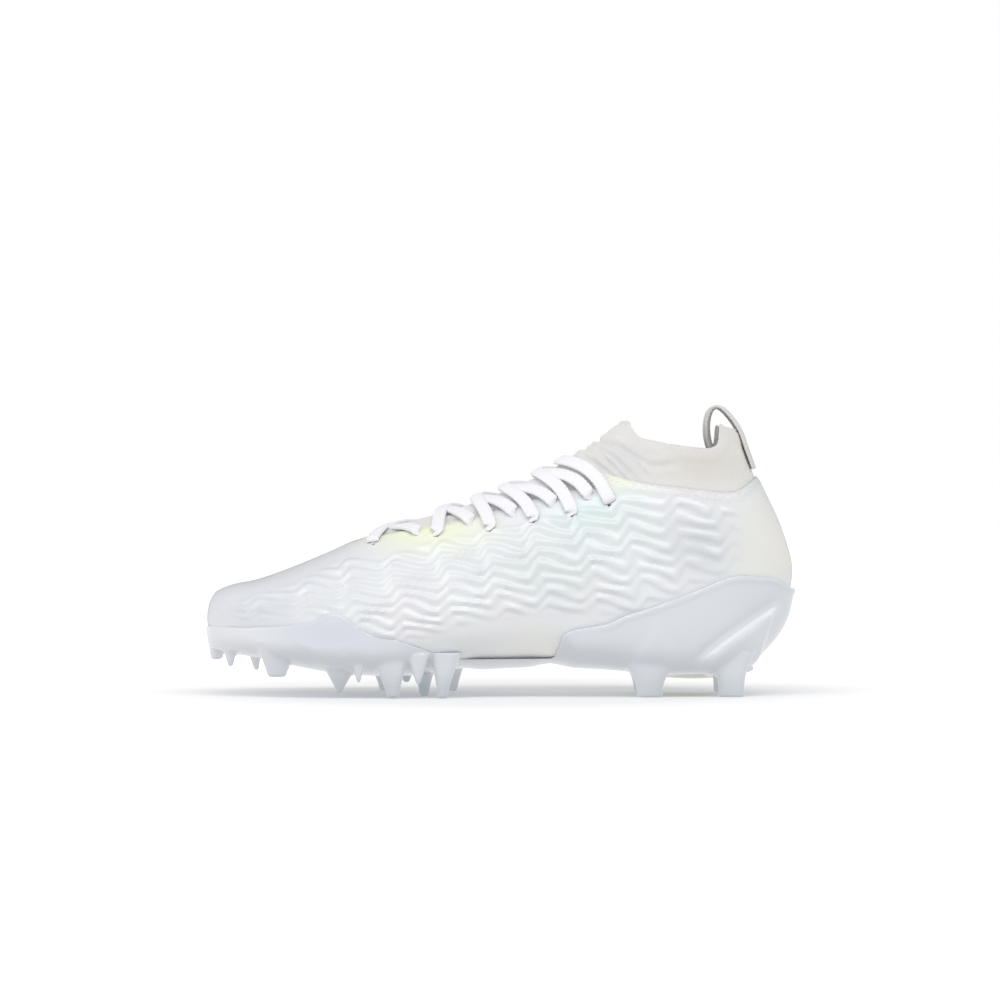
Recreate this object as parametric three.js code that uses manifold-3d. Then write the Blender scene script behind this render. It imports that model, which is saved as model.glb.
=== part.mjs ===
// American football cleat, left shoe, empty and standing on its studs.
// Millimetres, +Z up, toe towards -X, heel towards +X, outer side of the foot towards -Y.
// Every curved piece comes from one function, the form of the last, grown or shrunk by a
// named wall or clearance, so that neighbours follow each other everywhere.

import * as THREE from "three";
import { mergeVertices } from "three/addons/utils/BufferGeometryUtils.js";
import Module from "manifold-3d";

const wasm = await Module();
wasm.setup();

// Driving sizes of the shoe
const LENGTH = 290;
const BALL_WIDTH = 97;
const HEEL_WIDTH = 67;
const UPPER_HEIGHT = 110;
const RIDE_HEIGHT = 12;

// Walls and clearances
const UPPER_WALL = 1.6;
const SOCK_WALL = 1.6;
const SOLE_WALL = 2;
const CLEARANCE = 0.3;

// Throat, collar and lacing. The lifts of a lace's middle line are shares of its thickness.
const THROAT_LAP = 6;
const COLLAR_LAP = 7;
const HOLE_DIAMETER = 3.2;
const LACE_WIDTH = 6.4;
const LACE_THICKNESS = 2.1;
const LACE_LIFT = 0.75;
const LACE_OVERLAY = 0.5;

// Footbed, with the rounding of its heel and toe in plan as shares of the foot's widths, and
// the opening under the upper: its margin in plan and how high it cuts over the inner floor
const FOOTBED_THICKNESS = 4;
const FOOTBED_INSET = 5;
const LASTING_MARGIN = 13;
const LASTING_REACH = 1;
const HEEL_ROUND = 0.5;
const TOE_ROUND = 0.42;

// Pull loop. The curl is how much more than the heel the front leg bends round, as a share.
const LOOP_WIDTH = 22;
const LOOP_THICKNESS = 1.5;
const LOOP_CURL = 0.8;

// Studs and plate
const ROOT_DEPTH = 9;
const SIDE_FLARE = 1.2;
const FIN_RAISE = 1.3;
const HEEL_PAD_WIDTH = 34;
const HEEL_PAD_DROP = 3;
const HEEL_PAD_SPAN = [0.2, 0.43];
const PLATE_EDGE = 0.06;

// Fineness of the facets
const TURNS = 20;
const STATIONS = 33;
const STUD_SIDES = 8;
const LACE_SIDES = 6;
const LACE_STEPS = 10;
const LOOP_STEPS = 15;
const LOOP_STRIPS = 4;
const PAD_SIDES = 8;
const PAD_STEPS = 8;
const BED_STEPS = 24;

// Sections of the last from the toe, over the ball and the instep, to the top of the ankle.
// Each one is an oval in a plane that leans: base and top are its lowest and highest points.
// x: share of LENGTH from the middle. z: share of UPPER_HEIGHT above RIDE_HEIGHT.
// half, middle, crown: shares of BALL_WIDTH in the foot and of HEEL_WIDTH in the ankle.
// widest: where the section is widest, as a share of its height. low, high: squareness of
// the oval under and over that height. sole: squareness of the outsole's own lower half.
const FOOT_SECTIONS = [
  // base x, z, top x, z, half, middle, crown, widest, low, high, sole
  [-0.4935, 0.173, -0.4975, 0.264, 0.070, 0.085, 0.085, 0.50, 2.0, 2.0, 2.0],
  [-0.4905, 0.127, -0.4935, 0.310, 0.150, 0.083, 0.083, 0.46, 2.1, 2.1, 2.2],
  [-0.4810, 0.105, -0.4820, 0.353, 0.225, 0.075, 0.078, 0.42, 2.3, 2.2, 2.5],
  [-0.4550, 0.095, -0.4540, 0.384, 0.308, 0.060, 0.066, 0.38, 2.5, 2.2, 2.9],
  [-0.4100, 0.078, -0.4100, 0.409, 0.385, 0.042, 0.050, 0.36, 2.6, 2.2, 3.2],
  [-0.3520, 0.047, -0.3550, 0.460, 0.447, 0.022, 0.040, 0.34, 2.6, 2.1, 3.4],
  [-0.2830, 0.015, -0.2900, 0.531, 0.488, 0.006, 0.032, 0.33, 2.6, 2.0, 3.4],
  [-0.2070, 0.000, -0.2210, 0.612, 0.500, -0.010, 0.026, 0.33, 2.6, 1.95, 3.2],
  [-0.1240, 0.004, -0.1520, 0.667, 0.482, -0.023, 0.021, 0.34, 2.5, 1.9, 2.8],
  [-0.0340, 0.024, -0.0830, 0.716, 0.443, -0.029, 0.015, 0.37, 2.4, 1.85, 2.4],
  [0.0620, 0.035, -0.0170, 0.777, 0.408, -0.027, 0.010, 0.40, 2.3, 1.85, 2.4],
  [0.1590, 0.029, 0.0450, 0.845, 0.386, -0.019, 0.005, 0.42, 2.3, 1.85, 3.4],
  [0.2480, 0.013, 0.0970, 0.914, 0.371, -0.010, 0.000, 0.40, 2.3, 1.85, 4.4],
  [0.3380, 0.007, 0.1380, 0.990, 0.359, -0.004, 0.000, 0.38, 2.3, 1.85, 4.4],
];
const ANKLE_SECTIONS = [
  [0.4120, 0.041, 0.1660, 1.050, 0.504, 0, 0, 0.38, 2.2, 1.9, 3.2],
  [0.4520, 0.127, 0.1830, 1.090, 0.493, 0, 0, 0.40, 2.2, 1.9, 2.4],
  [0.4780, 0.227, 0.1950, 1.113, 0.478, 0, 0, 0.43, 2.2, 1.95, 2.2],
  [0.4895, 0.345, 0.2030, 1.130, 0.464, 0, 0, 0.46, 2.2, 2.0, 2.2],
  [0.4950, 0.455, 0.2100, 1.143, 0.450, 0, 0, 0.48, 2.2, 2.0, 2.2],
  [0.4850, 0.573, 0.2150, 1.155, 0.436, 0, 0, 0.50, 2.2, 2.05, 2.2],
  [0.4670, 0.695, 0.2180, 1.166, 0.422, 0, 0, 0.50, 2.2, 2.1, 2.2],
  [0.4465, 0.809, 0.2210, 1.178, 0.410, 0, 0, 0.50, 2.2, 2.1, 2.2],
  [0.4275, 0.927, 0.2240, 1.193, 0.400, 0, 0, 0.50, 2.2, 2.1, 2.2],
  [0.4110, 1.055, 0.2260, 1.209, 0.392, 0, 0, 0.50, 2.2, 2.1, 2.2],
  [0.3950, 1.191, 0.2275, 1.236, 0.388, 0, 0, 0.50, 2.2, 2.1, 2.2],
];

// Side outlines: x as a share of LENGTH, z as a share of UPPER_HEIGHT above RIDE_HEIGHT
const COLLAR_LINE = [
  [0.150, 0.897],
  [0.207, 0.854],
  [0.254, 0.829],
  [0.322, 0.808],
  [0.372, 0.794],
  [0.398, 0.802],
  [0.423, 0.844],
  [0.446, 0.890],
  [0.490, 0.950],
];
const SOCK_TOP_LINE = [
  [0.120, 1.130],
  [0.196, 1.112],
  [0.217, 1.113],
  [0.223, 1.075],
  [0.237, 1.037],
  [0.264, 1.019],
  [0.291, 1.005],
  [0.339, 0.990],
  [0.357, 0.995],
  [0.365, 1.018],
  [0.367, 1.099],
  [0.383, 1.082],
  [0.450, 1.050],
];
const TOE_AND_BALL_WRAP = [
  [-0.520, 0.205],
  [-0.434, 0.200],
  [-0.367, 0.206],
  [-0.314, 0.225],
  [-0.291, 0.257],
  [-0.268, 0.258],
  [-0.246, 0.224],
  [-0.231, 0.195],
  [-0.201, 0.160],
  [-0.173, 0.150],
  [-0.125, 0.105],
  [-0.067, 0.040],
];
const HEEL_WING = [
  [0.083, 0.030],
  [0.098, 0.110],
  [0.112, 0.180],
  [0.176, 0.216],
  [0.208, 0.253],
  [0.254, 0.290],
  [0.299, 0.334],
  [0.338, 0.374],
  [0.383, 0.421],
  [0.420, 0.426],
  [0.460, 0.414],
  [0.485, 0.378],
  [0.520, 0.350],
];
const REAR_FIN = [
  [0.462, 0.318],
  [0.417, 0.220],
  [0.372, 0.145],
  [0.341, 0.070],
  [0.345, -0.060],
  [0.414, -0.060],
  [0.428, 0.030],
  [0.441, 0.150],
];
const FRONT_FIN = [
  [0.262, 0.250],
  [0.226, 0.120],
  [0.212, 0.030],
  [0.214, -0.060],
  [0.300, -0.060],
  [0.302, 0.030],
  [0.296, 0.120],
];
const TOE_FACET = [
  [-0.352, 0.160],
  [-0.317, 0.085],
  [-0.290, 0.030],
  [-0.288, -0.060],
  [-0.240, -0.060],
  [-0.238, 0.060],
  [-0.262, 0.150],
];

// Throat in plan: x as a share of LENGTH, half width as a share of BALL_WIDTH
const THROAT = [
  [-0.246, 0.000],
  [-0.240, 0.045],
  [-0.222, 0.085],
  [-0.190, 0.115],
  [-0.120, 0.150],
  [0.000, 0.178],
  [0.100, 0.200],
  [0.160, 0.225],
];

// Lacing: x of the front hole, the rear hole and the crossing, as shares of LENGTH, how far
// the holes lie from the middle, as shares of BALL_WIDTH, and how far the lace stands off
// the instep at the crossing, in lace thicknesses.
const LACE_CROSSINGS = [
  // front hole, rear hole, crossing, front side, rear side, stand-off
  [-0.213, -0.140, -0.190, 0.190, 0.200, -0.8],
  [-0.106, -0.051, -0.092, 0.232, 0.205, 0.0],
  [-0.017, 0.020, -0.036, 0.262, 0.222, 0.0],
  [0.055, 0.087, 0.010, 0.268, 0.232, 0.0],
  [0.119, 0.147, 0.066, 0.275, 0.240, 0.0],
];
const TOP_BAR = { hole: 0.182, middle: 0.104, side: 0.268, standOff: 0.2 };

// Studs: x and y of the foot, as shares of LENGTH and BALL_WIDTH, the outer side negative;
// height of the foot as a share of RIDE_HEIGHT; length and width of the foot and of the
// root and how far the root leans away from the foot in x and y, as shares of BALL_WIDTH;
// and the flare: 1 for a cone, more for a leg that spreads only near its root.
const STUDS = [
  // x, y, height, foot length, foot width, root length, root width, lean x, lean y, flare
  [0.2500, -0.275, 0.00, 0.1289, 0.0670, 0.4850, 0.1600, 0.0000, -0.0052, 2.6],
  [0.2500, 0.275, 0.00, 0.1289, 0.0670, 0.4850, 0.1600, 0.0000, 0.0000, 2.6],
  [0.3870, -0.245, 0.00, 0.1289, 0.0670, 0.2700, 0.1300, -0.0103, 0.0103, 2.6],
  [0.3870, 0.245, 0.00, 0.1289, 0.0670, 0.2700, 0.1300, -0.0103, -0.0103, 2.6],
  [-0.0960, -0.400, 0.00, 0.0474, 0.0433, 0.1650, 0.1340, 0.0155, 0.0155, 1.3],
  [-0.0820, 0.385, 0.00, 0.0474, 0.0433, 0.1650, 0.1100, 0.0155, -0.0361, 1.3],
  [-0.1280, -0.150, 0.00, 0.0495, 0.0433, 0.1650, 0.1340, 0.0000, 0.0000, 1.4],
  [-0.1600, 0.130, 0.45, 0.0371, 0.0371, 0.1340, 0.1340, 0.0000, 0.0000, 1.2],
  [-0.1780, -0.415, 0.05, 0.0619, 0.0433, 0.2060, 0.1340, -0.0206, 0.0052, 1.3],
  [-0.1980, 0.400, 0.00, 0.0619, 0.0433, 0.2060, 0.1340, -0.0206, -0.0155, 1.3],
  [-0.2680, -0.330, 0.18, 0.0309, 0.0309, 0.2680, 0.1650, 0.0052, -0.0412, 1.2],
  [-0.2740, 0.330, 0.18, 0.0309, 0.0309, 0.2680, 0.1650, 0.0052, 0.0412, 1.2],
  [-0.2350, -0.440, 0.62, 0.0206, 0.0227, 0.0820, 0.0928, 0.0000, 0.0124, 1.0],
  [-0.1360, -0.440, 0.55, 0.0227, 0.0227, 0.1130, 0.0928, 0.0000, 0.0124, 1.0],
  [-0.3730, -0.300, 0.82, 0.0928, 0.0474, 0.2270, 0.1340, 0.0000, -0.0206, 1.2],
  [-0.3800, 0.330, 0.82, 0.0928, 0.0474, 0.2270, 0.1340, 0.0000, 0.0103, 1.2],
  [-0.4150, 0.110, 0.94, 0.0247, 0.0433, 0.1030, 0.0928, -0.0206, 0.0000, 1.0],
  [-0.4545, -0.110, 1.18, 0.0268, 0.0433, 0.1130, 0.1031, -0.0052, 0.0000, 1.0],
  [-0.4820, 0.075, 1.42, 0.0619, 0.1237, 0.1240, 0.2062, 0.0052, 0.0000, 1.2],
];

// Pull loop: a strap from inside the heel of the collar, over its top and down the back.
// inset: how far the strap's middle lies in front of its rear leg, as a share of LENGTH.
// z: share of UPPER_HEIGHT above RIDE_HEIGHT.
const LOOP_PATH = [
  // inset, z
  [0.0222, 0.836],
  [0.0330, 0.882],
  [0.0470, 0.927],
  [0.0560, 0.982],
  [0.0555, 1.045],
  [0.0485, 1.109],
  [0.0370, 1.160],
  [0.0225, 1.176],
  [0.0098, 1.145],
  [-0.0010, 1.073],
  [-0.0024, 0.982],
  [-0.0020, 0.900],
];

function place(x, z) {
  return [x * LENGTH, RIDE_HEIGHT + z * UPPER_HEIGHT];
}

function readSection(row, width) {
  const [baseX, baseZ, topX, topZ, half, middle, crown, ...shape] = row;
  const spread = [half, middle, crown].map((share) => share * width);
  return [...place(baseX, baseZ), ...place(topX, topZ), ...spread, ...shape];
}

const SECTIONS = [
  ...FOOT_SECTIONS.map((row) => readSection(row, BALL_WIDTH)),
  ...ANKLE_SECTIONS.map((row) => readSection(row, HEEL_WIDTH)),
];

// A smooth curve through all sections, column by column
function sectionAt(position) {
  const start = Math.min(Math.floor(position), SECTIONS.length - 2);
  const t = position - start;
  const pick = (index) => SECTIONS[Math.min(Math.max(index, 0), SECTIONS.length - 1)];
  const [a, b, c, d] = [pick(start - 1), pick(start), pick(start + 1), pick(start + 2)];
  return b.map((_, k) => {
    const slopeIn = (c[k] - a[k]) / 2;
    const slopeOut = (d[k] - b[k]) / 2;
    const rise = c[k] - b[k];
    const square = 3 * rise - 2 * slopeIn - slopeOut;
    const cube = slopeIn + slopeOut - 2 * rise;
    return b[k] + t * (slopeIn + t * (square + t * cube));
  });
}

// A point of the oval: the turn runs from the base over the outer side, the top and back
function ovalPoint(section, turn, isSole) {
  const [baseX, baseZ, topX, topZ, half, middle, crown, widest, low, high, sole] = section;
  const across = Math.cos(turn);
  const up = Math.sin(turn);
  const lower = isSole ? sole : low;
  const power = 2 / (up < 0 ? lower : high);
  const reach = up < 0 ? widest : 1 - widest;
  const rise = widest + Math.sign(up) * reach * Math.abs(up) ** power;
  const sway = middle + (crown - middle) * rise;
  return new THREE.Vector3(
    baseX + (topX - baseX) * rise,
    sway - Math.sign(across) * half * Math.abs(across) ** power,
    baseZ + (topZ - baseZ) * rise,
  );
}

function formGrid(isSole) {
  const grid = [];
  for (let i = 0; i <= STATIONS; i++) {
    const section = sectionAt(((SECTIONS.length - 1) * i) / STATIONS);
    const ring = [];
    for (let j = 0; j < TURNS; j++) {
      ring.push(ovalPoint(section, -Math.PI / 2 + (2 * Math.PI * j) / TURNS, isSole));
    }
    grid.push(ring);
  }
  return grid;
}

// Outward direction at every point of the form
function gridNormals(grid) {
  return grid.map((ring, i) => {
    const before = grid[Math.max(i - 1, 0)];
    const after = grid[Math.min(i + 1, grid.length - 1)];
    return ring.map((_, j) => {
      const along = after[j].clone().sub(before[j]);
      const round = ring[(j + 1) % TURNS].clone().sub(ring[(j + TURNS - 1) % TURNS]);
      return along.cross(round).normalize();
    });
  });
}

function middleOf(ring) {
  return ring.reduce((sum, point) => sum.add(point), new THREE.Vector3()).divideScalar(ring.length);
}

// The form of the last, grown outwards by a distance, as a closed geometry
function formGeometry(grow, isSole = false) {
  const grid = formGrid(isSole);
  const normals = gridNormals(grid);
  const rings = grid.map((ring, i) => ring.map((point, j) => {
    return point.clone().addScaledVector(normals[i][j], grow);
  }));
  return ringGeometry(rings, middleOf(rings[0]), middleOf(rings[rings.length - 1]));
}

// Closed geometry through rings of equal point count, with a point that closes each end
function ringGeometry(rings, first, last) {
  const count = rings[0].length;
  const points = [...rings.flat(), first, last];
  const faces = [];
  for (let i = 0; i + 1 < rings.length; i++) {
    for (let j = 0; j < count; j++) {
      const next = (j + 1) % count;
      const [a, b] = [i * count + j, i * count + next];
      const [c, d] = [a + count, b + count];
      faces.push(a, c, b, b, c, d);
    }
  }
  const firstPoint = rings.length * count;
  const lastRing = (rings.length - 1) * count;
  for (let j = 0; j < count; j++) {
    const next = (j + 1) % count;
    faces.push(firstPoint, j, next);
    faces.push(firstPoint + 1, lastRing + next, lastRing + j);
  }
  const geometry = new THREE.BufferGeometry();
  geometry.setAttribute("position", new THREE.Float32BufferAttribute(points.flatMap((p) => p.toArray()), 3));
  geometry.setIndex(faces);
  return geometry;
}

function toSolid(geometry) {
  const bare = geometry.clone();
  bare.deleteAttribute("normal");
  bare.deleteAttribute("uv");
  const merged = mergeVertices(bare, 1e-4);
  const index = Uint32Array.from(merged.index.array);
  const position = Float32Array.from(merged.attributes.position.array);
  const solid = new wasm.Manifold(new wasm.Mesh({ numProp: 3, vertProperties: position, triVerts: index }));
  return solid.volume() < 0 ? toSolid(flipped(merged)) : solid;
}

function flipped(geometry) {
  const turned = geometry.clone();
  turned.setIndex(Array.from(geometry.index.array).reverse());
  return turned;
}

// A solid through rings, closed flat at both ends
function closedLoft(rings) {
  return toSolid(ringGeometry(rings, middleOf(rings[0]), middleOf(rings[rings.length - 1])));
}

function toGeometry(solid) {
  const mesh = solid.getMesh();
  const geometry = new THREE.BufferGeometry();
  geometry.setAttribute("position", new THREE.Float32BufferAttribute(mesh.vertProperties, 3));
  geometry.setIndex(Array.from(mesh.triVerts));
  geometry.computeVertexNormals();
  return geometry;
}

function form(grow) {
  return toSolid(formGeometry(grow));
}

// The outsole's outer form: the same last, with squarer edges under the ball and the heel
function soleForm(grow) {
  return toSolid(formGeometry(grow, true));
}

// A flat outline in the side view, made as thick as the shoe is wide
function sideBlock(outline) {
  const shape = new THREE.Shape(outline.map(([x, z]) => new THREE.Vector2(x, z)));
  const depth = 2 * BALL_WIDTH;
  const geometry = new THREE.ExtrudeGeometry(shape, { depth, bevelEnabled: false });
  geometry.rotateX(Math.PI / 2);
  geometry.translate(0, depth / 2, 0);
  return toSolid(geometry);
}

// Everything above a side line, shifted by a drop
function above(line, drop = 0) {
  const high = RIDE_HEIGHT + 2 * UPPER_HEIGHT;
  const points = line.map(([x, z]) => place(x, z)).map(([x, z]) => [x, z - drop]);
  const [firstX] = points[0];
  const [lastX] = points[points.length - 1];
  return sideBlock([...points, [lastX, high], [firstX, high]]);
}

function below(line) {
  const low = -RIDE_HEIGHT;
  const points = line.map(([x, z]) => place(x, z));
  const [firstX] = points[0];
  const [lastX] = points[points.length - 1];
  return sideBlock([...points, [lastX, low], [firstX, low]]);
}

// An outline in plan, symmetrical about the crown of the instep, from one height upwards
function planBlock(halfOutline, extra, low, high) {
  const near = halfOutline.map(([x, half]) => [x * LENGTH, -(half * BALL_WIDTH + extra)]);
  const far = halfOutline.map(([x, half]) => [x * LENGTH, half * BALL_WIDTH + extra]).reverse();
  const shape = new THREE.Shape([...near, ...far].map(([x, y]) => new THREE.Vector2(x, y)));
  const geometry = new THREE.ExtrudeGeometry(shape, { depth: high - low, bevelEnabled: false });
  geometry.translate(0, 0, low);
  return toSolid(geometry);
}

// The form's upper face over a point in plan: the place and the direction it faces
function crownAt(x, y) {
  const origin = new THREE.Vector3(x, y, 3 * UPPER_HEIGHT);
  const ray = new THREE.Raycaster(origin, new THREE.Vector3(0, 0, -1));
  const { point, face } = ray.intersectObject(FORM_MESH)[0];
  const normal = face.normal.z < 0 ? face.normal.clone().negate() : face.normal.clone();
  return { point, normal };
}

// How far back the form reaches at a height, beside the middle
function backReach(y, z) {
  const origin = new THREE.Vector3(LENGTH, y, z);
  const ray = new THREE.Raycaster(origin, new THREE.Vector3(-1, 0, 0));
  return ray.intersectObject(FORM_MESH)[0].point.x;
}

const FORM_MESH = new THREE.Mesh(formGeometry(0), new THREE.MeshBasicMaterial({ side: THREE.DoubleSide }));

const THROAT_FLOOR = RIDE_HEIGHT + UPPER_HEIGHT * 0.45;
const CEILING = RIDE_HEIGHT + UPPER_HEIGHT * 1.6;

function throatBlock(extra) {
  const lengthened = THROAT.map(([x, half], index) => [index < 3 ? x - extra / LENGTH : x, half]);
  return planBlock(lengthened, extra, THROAT_FLOOR, CEILING);
}

// The base line of the form, as the height of the foot over a place along the shoe
function soleHeight(x) {
  const count = FOOT_SECTIONS.length;
  for (let k = 0; k + 1 < count; k++) {
    const [x0, z0] = SECTIONS[k];
    const [x1, z1] = SECTIONS[k + 1];
    if (x <= x1) {
      return z0 + ((z1 - z0) * (x - x0)) / (x1 - x0);
    }
  }
  return SECTIONS[count - 1][1];
}

// A slab that follows the sole line, inset from the form's plan outline
function footbedBlock(inset, low, high) {
  const toe = SECTIONS[0][0] + inset;
  const heel = LENGTH / 2 - inset;
  const rings = [];
  for (let i = 0; i <= BED_STEPS; i++) {
    const share = (1 - Math.cos((Math.PI * i) / BED_STEPS)) / 2;
    const x = toe + (heel - toe) * Math.min(Math.max(share, 0.0005), 0.9995);
    const [left, right] = planReach(x, inset);
    const z = soleHeight(x);
    rings.push([
      new THREE.Vector3(x, left, z + low),
      new THREE.Vector3(x, right, z + low),
      new THREE.Vector3(x, right, z + high),
      new THREE.Vector3(x, left, z + high),
    ]);
  }
  return closedLoft(rings);
}

// Outer and inner edge of the foot in plan, drawn in by an inset
function planReach(x, inset) {
  const heelRound = HEEL_WIDTH * HEEL_ROUND;
  const toeRound = BALL_WIDTH * TOE_ROUND;
  let row = sectionAt(0);
  for (let k = 0; k <= (FOOT_SECTIONS.length - 1) * 8; k++) {
    row = sectionAt(k / 8);
    if (row[0] >= x) {
      break;
    }
  }
  const [, , , , half, middle] = row;
  const fromHeel = LENGTH / 2 - inset - x;
  const fromToe = x - SECTIONS[0][0] - inset;
  const rounding = (distance, radius) => {
    const remaining = Math.max(1 - distance / radius, 0);
    return Math.sqrt(Math.max(1 - remaining ** 2, 0));
  };
  const share = Math.min(rounding(fromHeel, heelRound), rounding(fromToe, toeRound));
  const reach = Math.max((half - inset) * share, 0.4);
  return [middle - reach, middle + reach];
}

// Pieces

function holeTools() {
  const tools = [];
  const punch = (x, side) => {
    for (const y of [-side * BALL_WIDTH, side * BALL_WIDTH]) {
      const { point, normal } = crownAt(x * LENGTH, y);
      const pin = new THREE.CylinderGeometry(HOLE_DIAMETER / 2, HOLE_DIAMETER / 2, 4 * UPPER_WALL, 8);
      pin.applyQuaternion(new THREE.Quaternion().setFromUnitVectors(new THREE.Vector3(0, 1, 0), normal));
      pin.translate(...point.toArray());
      tools.push(toSolid(pin));
    }
  };
  for (const [front, rear, , frontSide, rearSide] of LACE_CROSSINGS) {
    punch(front, frontSide);
    punch(rear, rearSide);
  }
  punch(TOP_BAR.hole, TOP_BAR.side);
  return tools;
}

function makeUpper() {
  let shell = form(0).subtract(form(-UPPER_WALL));
  shell = shell.subtract(above(COLLAR_LINE));
  shell = shell.subtract(throatBlock(0));
  shell = shell.subtract(footbedBlock(LASTING_MARGIN, -UPPER_HEIGHT / 4, UPPER_WALL + LASTING_REACH));
  for (const tool of holeTools()) {
    shell = shell.subtract(tool);
  }
  return shell;
}

function makeSock() {
  const outside = UPPER_WALL + CLEARANCE;
  const skin = form(-outside).subtract(form(-outside - SOCK_WALL));
  const region = above(COLLAR_LINE, COLLAR_LAP).add(throatBlock(THROAT_LAP));
  return skin.intersect(region).subtract(above(SOCK_TOP_LINE));
}

function makeFootbed() {
  const room = form(-UPPER_WALL - CLEARANCE);
  const slab = footbedBlock(FOOTBED_INSET, -UPPER_WALL, UPPER_WALL + CLEARANCE + FOOTBED_THICKNESS);
  return room.intersect(slab);
}

// A stud: rounded sections from its foot up into the plate
function studSolid([x, y, height, ...shape]) {
  const flare = shape.pop();
  const sizes = shape.map((share) => share * BALL_WIDTH);
  const [footLength, footWidth, rootLength, rootWidth, leanX, leanY] = sizes;
  const footZ = height * RIDE_HEIGHT;
  const rootZ = soleHeight(x * LENGTH) + ROOT_DEPTH;
  const rings = [0, 0.4, 0.7, 1].map((rise) => {
    const spread = rise ** flare;
    const sideSpread = rise ** SIDE_FLARE;
    const ring = [];
    for (let j = 0; j < STUD_SIDES; j++) {
      const turn = (2 * Math.PI * j) / STUD_SIDES;
      const long = (footLength + (rootLength - footLength) * spread) / 2;
      const wide = (footWidth + (rootWidth - footWidth) * sideSpread) / 2;
      ring.push(new THREE.Vector3(
        x * LENGTH + leanX * spread + long * Math.sign(Math.cos(turn)) * Math.abs(Math.cos(turn)) ** 0.8,
        y * BALL_WIDTH + leanY * sideSpread + wide * Math.sign(Math.sin(turn)) * Math.abs(Math.sin(turn)) ** 0.8,
        footZ + (rootZ - footZ) * rise,
      ));
    }
    return ring;
  });
  return closedLoft(rings);
}

// The low dome under the middle of the heel, between the studs
function heelPad() {
  const [front, back] = HEEL_PAD_SPAN.map((share) => share * LENGTH);
  const rings = [];
  for (let i = 0; i <= PAD_STEPS; i++) {
    const share = i / PAD_STEPS;
    const x = front + (back - front) * share;
    const swell = Math.max(Math.sin(Math.PI * share), 0.02) ** 0.5;
    const ring = [];
    for (let j = 0; j < PAD_SIDES; j++) {
      const turn = (2 * Math.PI * j) / PAD_SIDES;
      ring.push(new THREE.Vector3(
        x,
        (HEEL_PAD_WIDTH / 2) * swell * Math.cos(turn),
        soleHeight(x) + (SOLE_WALL + HEEL_PAD_DROP) * swell * Math.sin(turn),
      ));
    }
    rings.push(ring);
  }
  return closedLoft(rings);
}

function makeOutsole() {
  const outer = CLEARANCE + SOLE_WALL;
  const plateLine = [[-0.6, PLATE_EDGE], [0.6, PLATE_EDGE]];
  const sideLine = below(TOE_AND_BALL_WRAP).add(below(HEEL_WING)).add(below(plateLine));
  let sole = soleForm(outer).intersect(sideLine);
  const fins = [REAR_FIN, FRONT_FIN, TOE_FACET].map((fin) => sideBlock(fin.map(([x, z]) => place(x, z))));
  for (const fin of fins) {
    sole = sole.add(soleForm(outer + FIN_RAISE).intersect(fin));
  }
  for (const stud of STUDS) {
    sole = sole.add(studSolid(stud));
  }
  sole = sole.add(heelPad());
  return sole.subtract(form(CLEARANCE));
}

// A lace strand: a flat oval section led along points in plan, lying on the instep
function strand(points, standOff) {
  const stops = points.map(([x, y]) => new THREE.Vector3(x, y, 0));
  const curve = new THREE.CatmullRomCurve3(stops, false, "centripetal");
  const path = [];
  const facing = [];
  for (let i = 0; i <= LACE_STEPS; i++) {
    const { x, y } = curve.getPointAt(i / LACE_STEPS);
    const { point, normal } = crownAt(x, y);
    const bridge = Math.sin((Math.PI * i) / LACE_STEPS) ** 2;
    path.push(point.addScaledVector(normal, CLEARANCE + LACE_THICKNESS * (LACE_LIFT + standOff * bridge)));
    facing.push(normal);
  }
  const rings = path.map((point, i) => {
    const before = path[Math.max(i - 1, 0)];
    const after = path[Math.min(i + 1, LACE_STEPS)];
    const ahead = after.clone().sub(before).normalize();
    const side = facing[i].clone().cross(ahead).normalize();
    const up = ahead.clone().cross(side);
    const ring = [];
    for (let j = 0; j < LACE_SIDES; j++) {
      const turn = (2 * Math.PI * j) / LACE_SIDES;
      ring.push(point.clone()
        .addScaledVector(side, (LACE_WIDTH / 2) * Math.cos(turn))
        .addScaledVector(up, (LACE_THICKNESS / 2) * Math.sin(turn)));
    }
    return ring;
  });
  return closedLoft(rings);
}

function lacePoint(x, y) {
  return [x * LENGTH, y * BALL_WIDTH];
}

function makeCrossing([front, rear, middle, frontSide, rearSide, standOff]) {
  const over = [lacePoint(front, -frontSide), lacePoint(middle, 0), lacePoint(rear, rearSide)];
  const under = [lacePoint(rear, -rearSide), lacePoint(middle, 0), lacePoint(front, frontSide)];
  return strand(over, standOff + LACE_OVERLAY).add(strand(under, standOff));
}

function makeTopBar() {
  const { hole, middle, side, standOff } = TOP_BAR;
  return strand([lacePoint(hole, -side), lacePoint(middle, 0), lacePoint(hole, side)], standOff);
}

function makeLoop() {
  const points = LOOP_PATH.map(([share, height]) => {
    const [inset, z] = place(share, height);
    return new THREE.Vector3(backReach(0, z) - LOOP_THICKNESS / 2 - inset, 0, z);
  });
  const curve = new THREE.CatmullRomCurve3(points, false, "centripetal");
  const rings = [];
  for (let i = 0; i <= LOOP_STEPS; i++) {
    const point = curve.getPointAt(i / LOOP_STEPS);
    const ahead = curve.getTangentAt(i / LOOP_STEPS);
    const outward = new THREE.Vector3(-ahead.z, 0, ahead.x);
    const curl = 1 + LOOP_CURL * Math.max(1 - (2 * i) / LOOP_STEPS, 0);
    const ring = [];
    for (const side of [1, -1]) {
      for (let k = 0; k <= LOOP_STRIPS; k++) {
        const y = side * LOOP_WIDTH * (k / LOOP_STRIPS - 0.5);
        const recess = curl * (backReach(0, point.z) - backReach(y, point.z));
        ring.push(new THREE.Vector3(point.x - recess, y, point.z)
          .addScaledVector(outward, (side * LOOP_THICKNESS) / 2));
      }
    }
    rings.push(ring);
  }
  return closedLoft(rings);
}

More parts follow.
